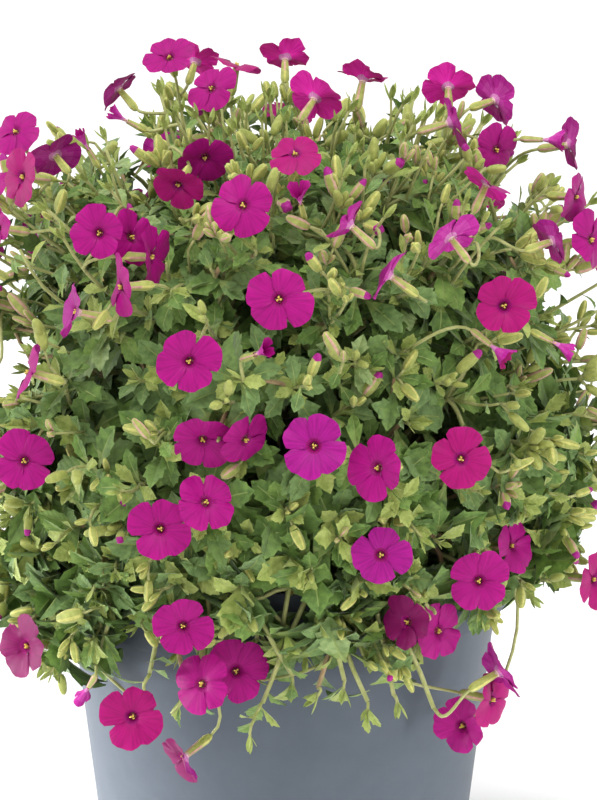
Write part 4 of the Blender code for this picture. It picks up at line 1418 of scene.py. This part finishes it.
# %% [markdown]
# ## Leaves in their places
# Leaves turn round a stem by the golden angle, so none shades the next. The upper ones form the rosette and
# lie flatter, the lower ones stand off the stem and are older. The first three of these inside the crown get a
# lighter green, painted light against the shade there. A leaf that would reach out of the
# mound, touch the pot or cover a bloom is left out, as a real shoot would have pushed it aside.

# %% Leaves on their shoots
ROSETTE_LEAVES, SIDE_ROSETTE_LEAVES, AIRY_ROSETTE_LEAVES, TRAIL_LEAVES = 10, 8, 6, 6
AIRY_SCALE = 0.80
LOWER_LEAVES, SIDE_LOWER_LEAVES = 5, 2
INNER_FIRST, TRAIL_FIRST, SIDE_FIRST = 0.18, 0.45, 0.40
LEAF_SCALES = ((0.080, 1.16), (0.115, 1.10), (0.150, 0.98), (0.190, 0.86), (0.236, 0.70))  # height, scale
TURNED_SPOTS = ((80, 522, 34, 15),)
STALK_LEAF_SPACING = 0.0065
YOUNG_FROM = 0.70
LEAF_LIMIT, TOP_LEAF_LIMIT = 1.03, 0.93
LEAF_CLEARANCE = 0.0010
TURNED_THERE, TURNED_ELSEWHERE = 0.6, 0.010
leaf_pile, inner_pile = Pile(), Pile()
leaf_rng = random.Random(f"{SEED} leaves")
fit = {"placed": 0, "left out": 0}


def has_room(root, along, length):
    """True if a leaf there keeps inside the mound, off the pot and out of the way of the blooms."""
    ahead = [root + along * length * share for share in (0.45, 0.75, 1.0)]
    limit = LEAF_LIMIT + (TOP_LEAF_LIMIT - LEAF_LIMIT) * height_share(ahead[2])
    fits = mound_share(ahead).max() <= limit and clear_of_pot(ahead, LEAF_CLEARANCE).all()
    return fits and not in_open(ahead) and not covers_bloom(ahead)


def add_leaf(pile, shapes, root, axis, turn, splay, length, shade, lean=UP * 0.25):
    """Adds a leaf that stands off an axis. Where it has no room, it turns to one side or the other."""
    for nudge in (0.0, 0.7, -0.7):
        around = Matrix.Rotation(turn + nudge, 3, axis) @ axis.orthogonal().normalized()
        along = (axis * math.cos(splay) + around * math.sin(splay)).normalized()
        if has_room(root, along, length):
            break
    else:
        fit["left out"] += 1
        return
    fit["placed"] += 1
    normal = axis * math.sin(splay) - around * math.cos(splay) + lean + jitter(leaf_rng, 0.25)
    broad = Matrix.Diagonal((1.0, leaf_rng.uniform(0.85, 1.22), 1.0, 1.0))
    plain_leaf = shade in (shade_of["turned"], shade_of["deep"], shade_of["young"])
    paints = (shade, shade, shade) if plain_leaf else (shade, RIB, BASE)
    pile.add(leaf_rng.choice(shapes), standing(root, along, normal, length) @ broad, paints)


def shade_for(growth):
    """A shade for all the leaves of one shoot: fresher above and outside."""
    rank = 0.25 * max(growth.outward.z, -0.2) + leaf_rng.gauss(0.45, 0.26)
    for limit, shade in ((0.16, "mid"), (0.42, "grey"), (0.66, "mid"), (0.94, "fresh")):
        if rank < limit:
            return shade_of[shade]
    return shade_of["pale"]


for growth in growths:
    shade = shade_for(growth)
    turn = leaf_rng.uniform(0, math.tau)
    number = AIRY_ROSETTE_LEAVES if growth.airy else SIDE_ROSETTE_LEAVES if growth.side else ROSETTE_LEAVES
    scale = np.interp(growth.rosette.z, *np.array(LEAF_SCALES).T) * (0.90 if growth.side else 1.0)
    scale *= leaf_rng.uniform(0.86, 1.12) * (AIRY_SCALE if growth.airy else 1.0)
    for step in range(number):
        part = step / (number - 1)
        splay = math.radians(84 - 54 * part + leaf_rng.uniform(-18, 18))
        length = LEAF_LENGTH * (1.05 - 0.58 * part) * leaf_rng.uniform(0.82, 1.15) * scale
        root = growth.rosette + growth.facing * (0.0070 * part - 0.0045)
        tint = shade_of["young"] if part > YOUNG_FROM else shade
        add_leaf(leaf_pile, leaf_shapes, root, growth.facing, turn + step * GOLDEN_ANGLE, splay, length, tint)
    lower = TRAIL_LEAVES if growth.trailing else SIDE_LOWER_LEAVES if growth.side else LOWER_LEAVES
    for step in range(lower):
        first = SIDE_FIRST if growth.side else TRAIL_FIRST if growth.trailing else INNER_FIRST
        share = first + (0.95 - first) * (step + 0.5) / lower
        root = bend(*growth.curve, share)
        way = (bend(*growth.curve, share + 0.02) - root).normalized()
        splay = math.radians(leaf_rng.uniform(45, 75))
        length = LEAF_LENGTH * leaf_rng.uniform(0.8, 1.15) * min(scale, 1.0)
        angle = turn + (step + number) * GOLDEN_ANGLE
        if growth.trailing:
            add_leaf(leaf_pile, leaf_shapes, root, way, angle, splay, length, shade, growth.outward * 0.9)
            continue
        fading = TURNED_THERE if in_spots(*pixels_of(root), TURNED_SPOTS)[0] else TURNED_ELSEWHERE
        # painted light: the first lower leaves inside get the lighter green against the shade there
        low = shade_of["turned"] if leaf_rng.random() < fading else shade_of["deep"] if step < 3 else shade
        add_leaf(inner_pile, leaf_shapes, root, way, angle, splay, length, low, growth.outward * 0.3)
    spaces = max(int(growth.stalk / STALK_LEAF_SPACING), 1)
    for step in range(spaces):
        share = (step + 0.7) / (spaces + 0.5)
        root = growth.rosette.lerp(growth.tip, share)
        splay = math.radians(leaf_rng.uniform(30, 62))
        length = LEAF_LENGTH * leaf_rng.uniform(0.38, 0.66) * (1.1 - 0.35 * share)
        shapes, tint = (bract_shapes, shade_of["young"]) if share > 0.75 else (leaf_shapes, shade)
        angle = turn + (step + 0.5) * GOLDEN_ANGLE
        add_leaf(leaf_pile, shapes, root, growth.facing, angle, splay, length, tint)
print("leaves:", fit)

# %% [markdown]
# ## Buds in their places
# A flower stalk ends in a loose head of closed buds: the outer ones are the oldest and largest and lean out,
# the inner ones are small and stand close together. Each sits on its own short stalk. Where the head would
# stand in front of a bloom, it is left out.

# %% Buds on their stalks
BUD_LENGTH = 0.0062
TIP_LEAF, TIP_SPLAY, TIP_TURNS = 0.0046, 0.28, (0.0, 2.1, 4.2)
BUD_NUMBERS, BUD_WEIGHTS = (3, 3, 4, 5, 6), (4, 7, 3)
TIPPED_SHARE, FLUSHED_TIPPED = 0.22, 0.3
TWIG_RADII = (0.00042, 0.00038, 0.00045)
bud_pile = Pile()
bud_rng = random.Random(f"{SEED} buds")
for growth in growths:
    if not growth.head:
        continue
    tip, side = growth.stalk_path[-1], growth.facing.orthogonal().normalized()
    turn = bud_rng.uniform(0, math.tau)
    before = bud_pile.copies
    number = bud_rng.choice(BUD_NUMBERS)
    colour = bud_rng.choices((GREEN, YELLOW, FLUSHED), BUD_WEIGHTS)[0]
    for step in range(number):
        part = step / (number - 1)
        around = Matrix.Rotation(turn + step * GOLDEN_ANGLE, 3, growth.facing) @ side
        splay = math.radians(50 - 42 * part + bud_rng.uniform(-10, 10))
        along = (growth.facing * math.cos(splay) + around * math.sin(splay)).normalized()
        pedicel = 0.0030 * (1 - 0.6 * part) * bud_rng.uniform(0.7, 1.5)
        foot_place = tip + along * pedicel
        length = BUD_LENGTH * (1.15 - 0.45 * part) * bud_rng.uniform(0.8, 1.2)
        points = [foot_place, foot_place + along * length]
        outside = mound_share(points).max() > 1.03 or not clear_of_pot(points, 0.001).all()
        if outside or in_open(points) or covers_bloom(points):
            continue
        along_up = (along + UP * 0.15).normalized()
        tipped = part < 0.5 and bud_rng.random() < TIPPED_SHARE
        paint = FLUSHED if tipped and bud_rng.random() < FLUSHED_TIPPED else colour
        slim = bud_rng.uniform(0.85, 1.15)
        matrix = standing(foot_place, along_up, around, length) @ Matrix.Diagonal((1.0, slim, slim, 1.0))
        bud_pile.add(bud_shapes[tipped], matrix, (GREEN, paint, TIP))
        middle = tip.lerp(foot_place, 0.5) + growth.facing * 0.0003
        add_tube(stem_pile, [tip, middle, foot_place + along_up * 0.0004], TWIG_RADII, 4, GREEN_STEM)
    growth.head = bud_pile.copies > before
for growth in growths:
    if not growth.head:
        tip = growth.stalk_path[-1]
        ahead = (tip - growth.stalk_path[-2]).normalized()
        if covers_bloom([tip, tip + ahead * TIP_LEAF]):
            continue
        for turn in TIP_TURNS:
            off = Matrix.Rotation(turn, 3, ahead) @ ahead.orthogonal().normalized()
            along, root = ahead + off * TIP_SPLAY, tip - ahead * 0.001
            place = standing(root, along, off, TIP_LEAF * bud_rng.uniform(0.8, 1.2))
            leaf_pile.add(bract_shapes[0], place, (shade_of["young"],) * 3)
print(bud_pile.copies, "buds")

# %% [markdown]
# ## Blooms in their places
# Each bloom stands on its calyx, and each has its own shade for all four petals. Younger blooms are redder
# and older ones more violet. Those that hang below the rim and look to the left get a darker magenta, painted
# shade that offsets the light of the low lamp there. Blooms that are seen from the side have looser petals.

# %% Blooms and calyxes
LOOSE_BELOW = 0.55
PAINTED_SHADE_PETAL, LEFTWARD = len(PETAL_SHADES) - 1, -0.5
SHADE_WEIGHTS = (6, 3, 1)
TUBE_PAINTS, TUBE_WEIGHTS = ((YELLOW, FLUSHED), (FLUSHED, FLUSHED), (YELLOW, YELLOW)), (4, 4, 1)
LIT_WAY, LIT_FROM = Vector((0.0, 0.6, 0.8)), 0.84  # up and away from the camera
bloom_pile = Pile()
for bloom in blooms:
    aside = bloom.seen and bloom.facing.dot(TO_CAMERA) < LOOSE_BELOW
    shapes = half_blooms if bloom.opening < 0.5 else loose_blooms if aside else flat_blooms
    shape = shapes[bloom_rng.randrange(len(shapes))]
    shade = bloom_rng.choices(range(PAINTED_SHADE_PETAL), SHADE_WEIGHTS)[0]
    # painted shade: the darker magenta offsets the low left lamp on these blooms
    if bloom.place.z < POT_HEIGHT and bloom.facing.x < LEFTWARD:
        shade = PAINTED_SHADE_PETAL
    radius = BLOOM_RADIUS * bloom.size
    turn = bloom.facing.to_track_quat("Z", "Y").to_matrix().to_4x4()
    spin = Matrix.Rotation(bloom_rng.uniform(0, math.tau), 4, "Z")
    stretch = Matrix.Diagonal((radius * bloom_rng.uniform(0.95, 1.05), radius, radius, 1.0))
    matrix = Matrix.Translation(bloom.place) @ turn @ spin @ stretch
    # painted light: blooms that look up and away get the brighter back colour, in place of light shining
    # through
    painted_glow = bloom.facing.dot(LIT_WAY) > LIT_FROM
    back, faded = (GLOW_PAINTED_BACK, GLOW_PAINTED_BACK) if painted_glow else (BACK, FADED)
    bloom_pile.add(shape, matrix, (shade, back, CLAW, EYE, ANTHER, PALE, faded, THROAT_SHADE))
    length = CALYX_LENGTH * bloom.size + THROAT * bloom.size * 0.5
    lower, upper = bloom_rng.choices(TUBE_PAINTS, TUBE_WEIGHTS)[0]
    across = UP if abs(bloom.facing.z) < 0.9 else RIGHT
    bud_pile.add(calyx, standing(bloom.base, bloom.facing, across, length), (GREEN, lower, upper))
print(bloom_pile.copies, "blooms on their calyxes")

# %% [markdown]
# ## Join
# Each kind is joined to its own piece, and the leaves to as many pieces as keep each under 190,000 triangles.
# Every piece rides on the one body and stands for the masses of the imported model.

# %% Join the pieces
MOST_TRIANGLES = 190_000


def split_piles(pile):
    """The pile cut into piles of fewer than the most triangles."""
    share = math.ceil(pile.triangles() / MOST_TRIANGLES)
    parts = [Pile() for _ in range(share)]
    for index, arrays in enumerate(zip(pile.points, pile.faces, pile.paints, pile.uvs)):
        points, faces, paints, uvs = arrays
        parts[index * share // len(pile.points)].add_arrays(points, faces - faces.min(), paints, uvs)
    return parts


for index, part in enumerate(split_piles(leaf_pile)):
    leaves = part.joined(f"leaves_{index + 1}", leaf_finishes, "foliage")
    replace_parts(leaves, *foliage_nodes)
for kind, pile, finishes, slot in (
    ("lower_leaves", inner_pile, leaf_finishes, "foliage"),
    ("green_stems", stem_pile, stem_finishes, "foliage"),
    ("buds_and_calyxes", bud_pile, bud_finishes, "foliage"),
    ("blooms", bloom_pile, petal_finishes, "petals"),
):
    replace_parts(pile.joined(kind, finishes, slot), *foliage_nodes)

# %% [markdown]
# ## Studio
# A white floor, a large soft light above, and softboxes at both sides and in front. The left one is stronger,
# which gives the pot the pale left edge and dark middle that the photograph shows. Two small lamps near the
# floor, with grids that narrow their beams, light little more than the sides of the pot.

# %% Floor, lights and world
FLOOR_SIZE = 12.0


def plain(name, colour, roughness):
    """A plain finish for what isn't part of the object."""
    material = bpy.data.materials.new(name)
    material.use_nodes = True
    shader = material.node_tree.nodes["Principled BSDF"]
    shader.inputs["Base Color"].default_value = linear(colour)
    shader.inputs["Roughness"].default_value = roughness
    return material


bm = bmesh.new()
bmesh.ops.create_grid(bm, x_segments=1, y_segments=1, size=FLOOR_SIZE / 2)
floor = piece_from(bm, "floor", [plain("pale_floor", "#ffffff", 0.9)])
floor.location.z = -0.0002


def softbox(name, place, size, power, aim=(0.0, 0.0, 0.14), grid=180):
    """A square area light that looks at the plant. A grid before it narrows its beam to that many degrees."""
    light = bpy.data.lights.new(name, "AREA")
    light.shape, light.size, light.energy, light.spread = "SQUARE", size, power, math.radians(grid)
    made = bpy.data.objects.new(name, light)
    made.location = place
    made.rotation_mode = "QUATERNION"
    made.rotation_quaternion = (Vector(aim) - Vector(place)).to_track_quat("-Z", "Y")
    collection.objects.link(made)
    return made


softbox("light_above", (-0.1, -0.45, 1.45), 1.0, 16.0)
softbox("light_left", (-1.35, 0.30, 0.45), 1.0, 9.0)
softbox("light_low_left", (-0.50, -0.04, 0.05), 0.10, 0.225, (-0.05, 0.0, 0.01), 34)
softbox("light_low_right", (0.40, -0.30, 0.05), 0.10, 0.045, (0.04, -0.02, 0.01), 34)
softbox("light_right", (1.10, -0.80, 0.35), 1.0, 4.6)
softbox("light_front", (-0.2, -1.5, 0.6), 0.8, 0.5)
world = bpy.data.worlds.new("studio")
world.use_nodes = True
world.node_tree.nodes["Background"].inputs["Color"].default_value = (1.0, 1.0, 1.0, 1.0)
world.node_tree.nodes["Background"].inputs["Strength"].default_value = 0.86
bpy.context.scene.world = world
bpy.context.scene.view_settings.view_transform = "Standard"
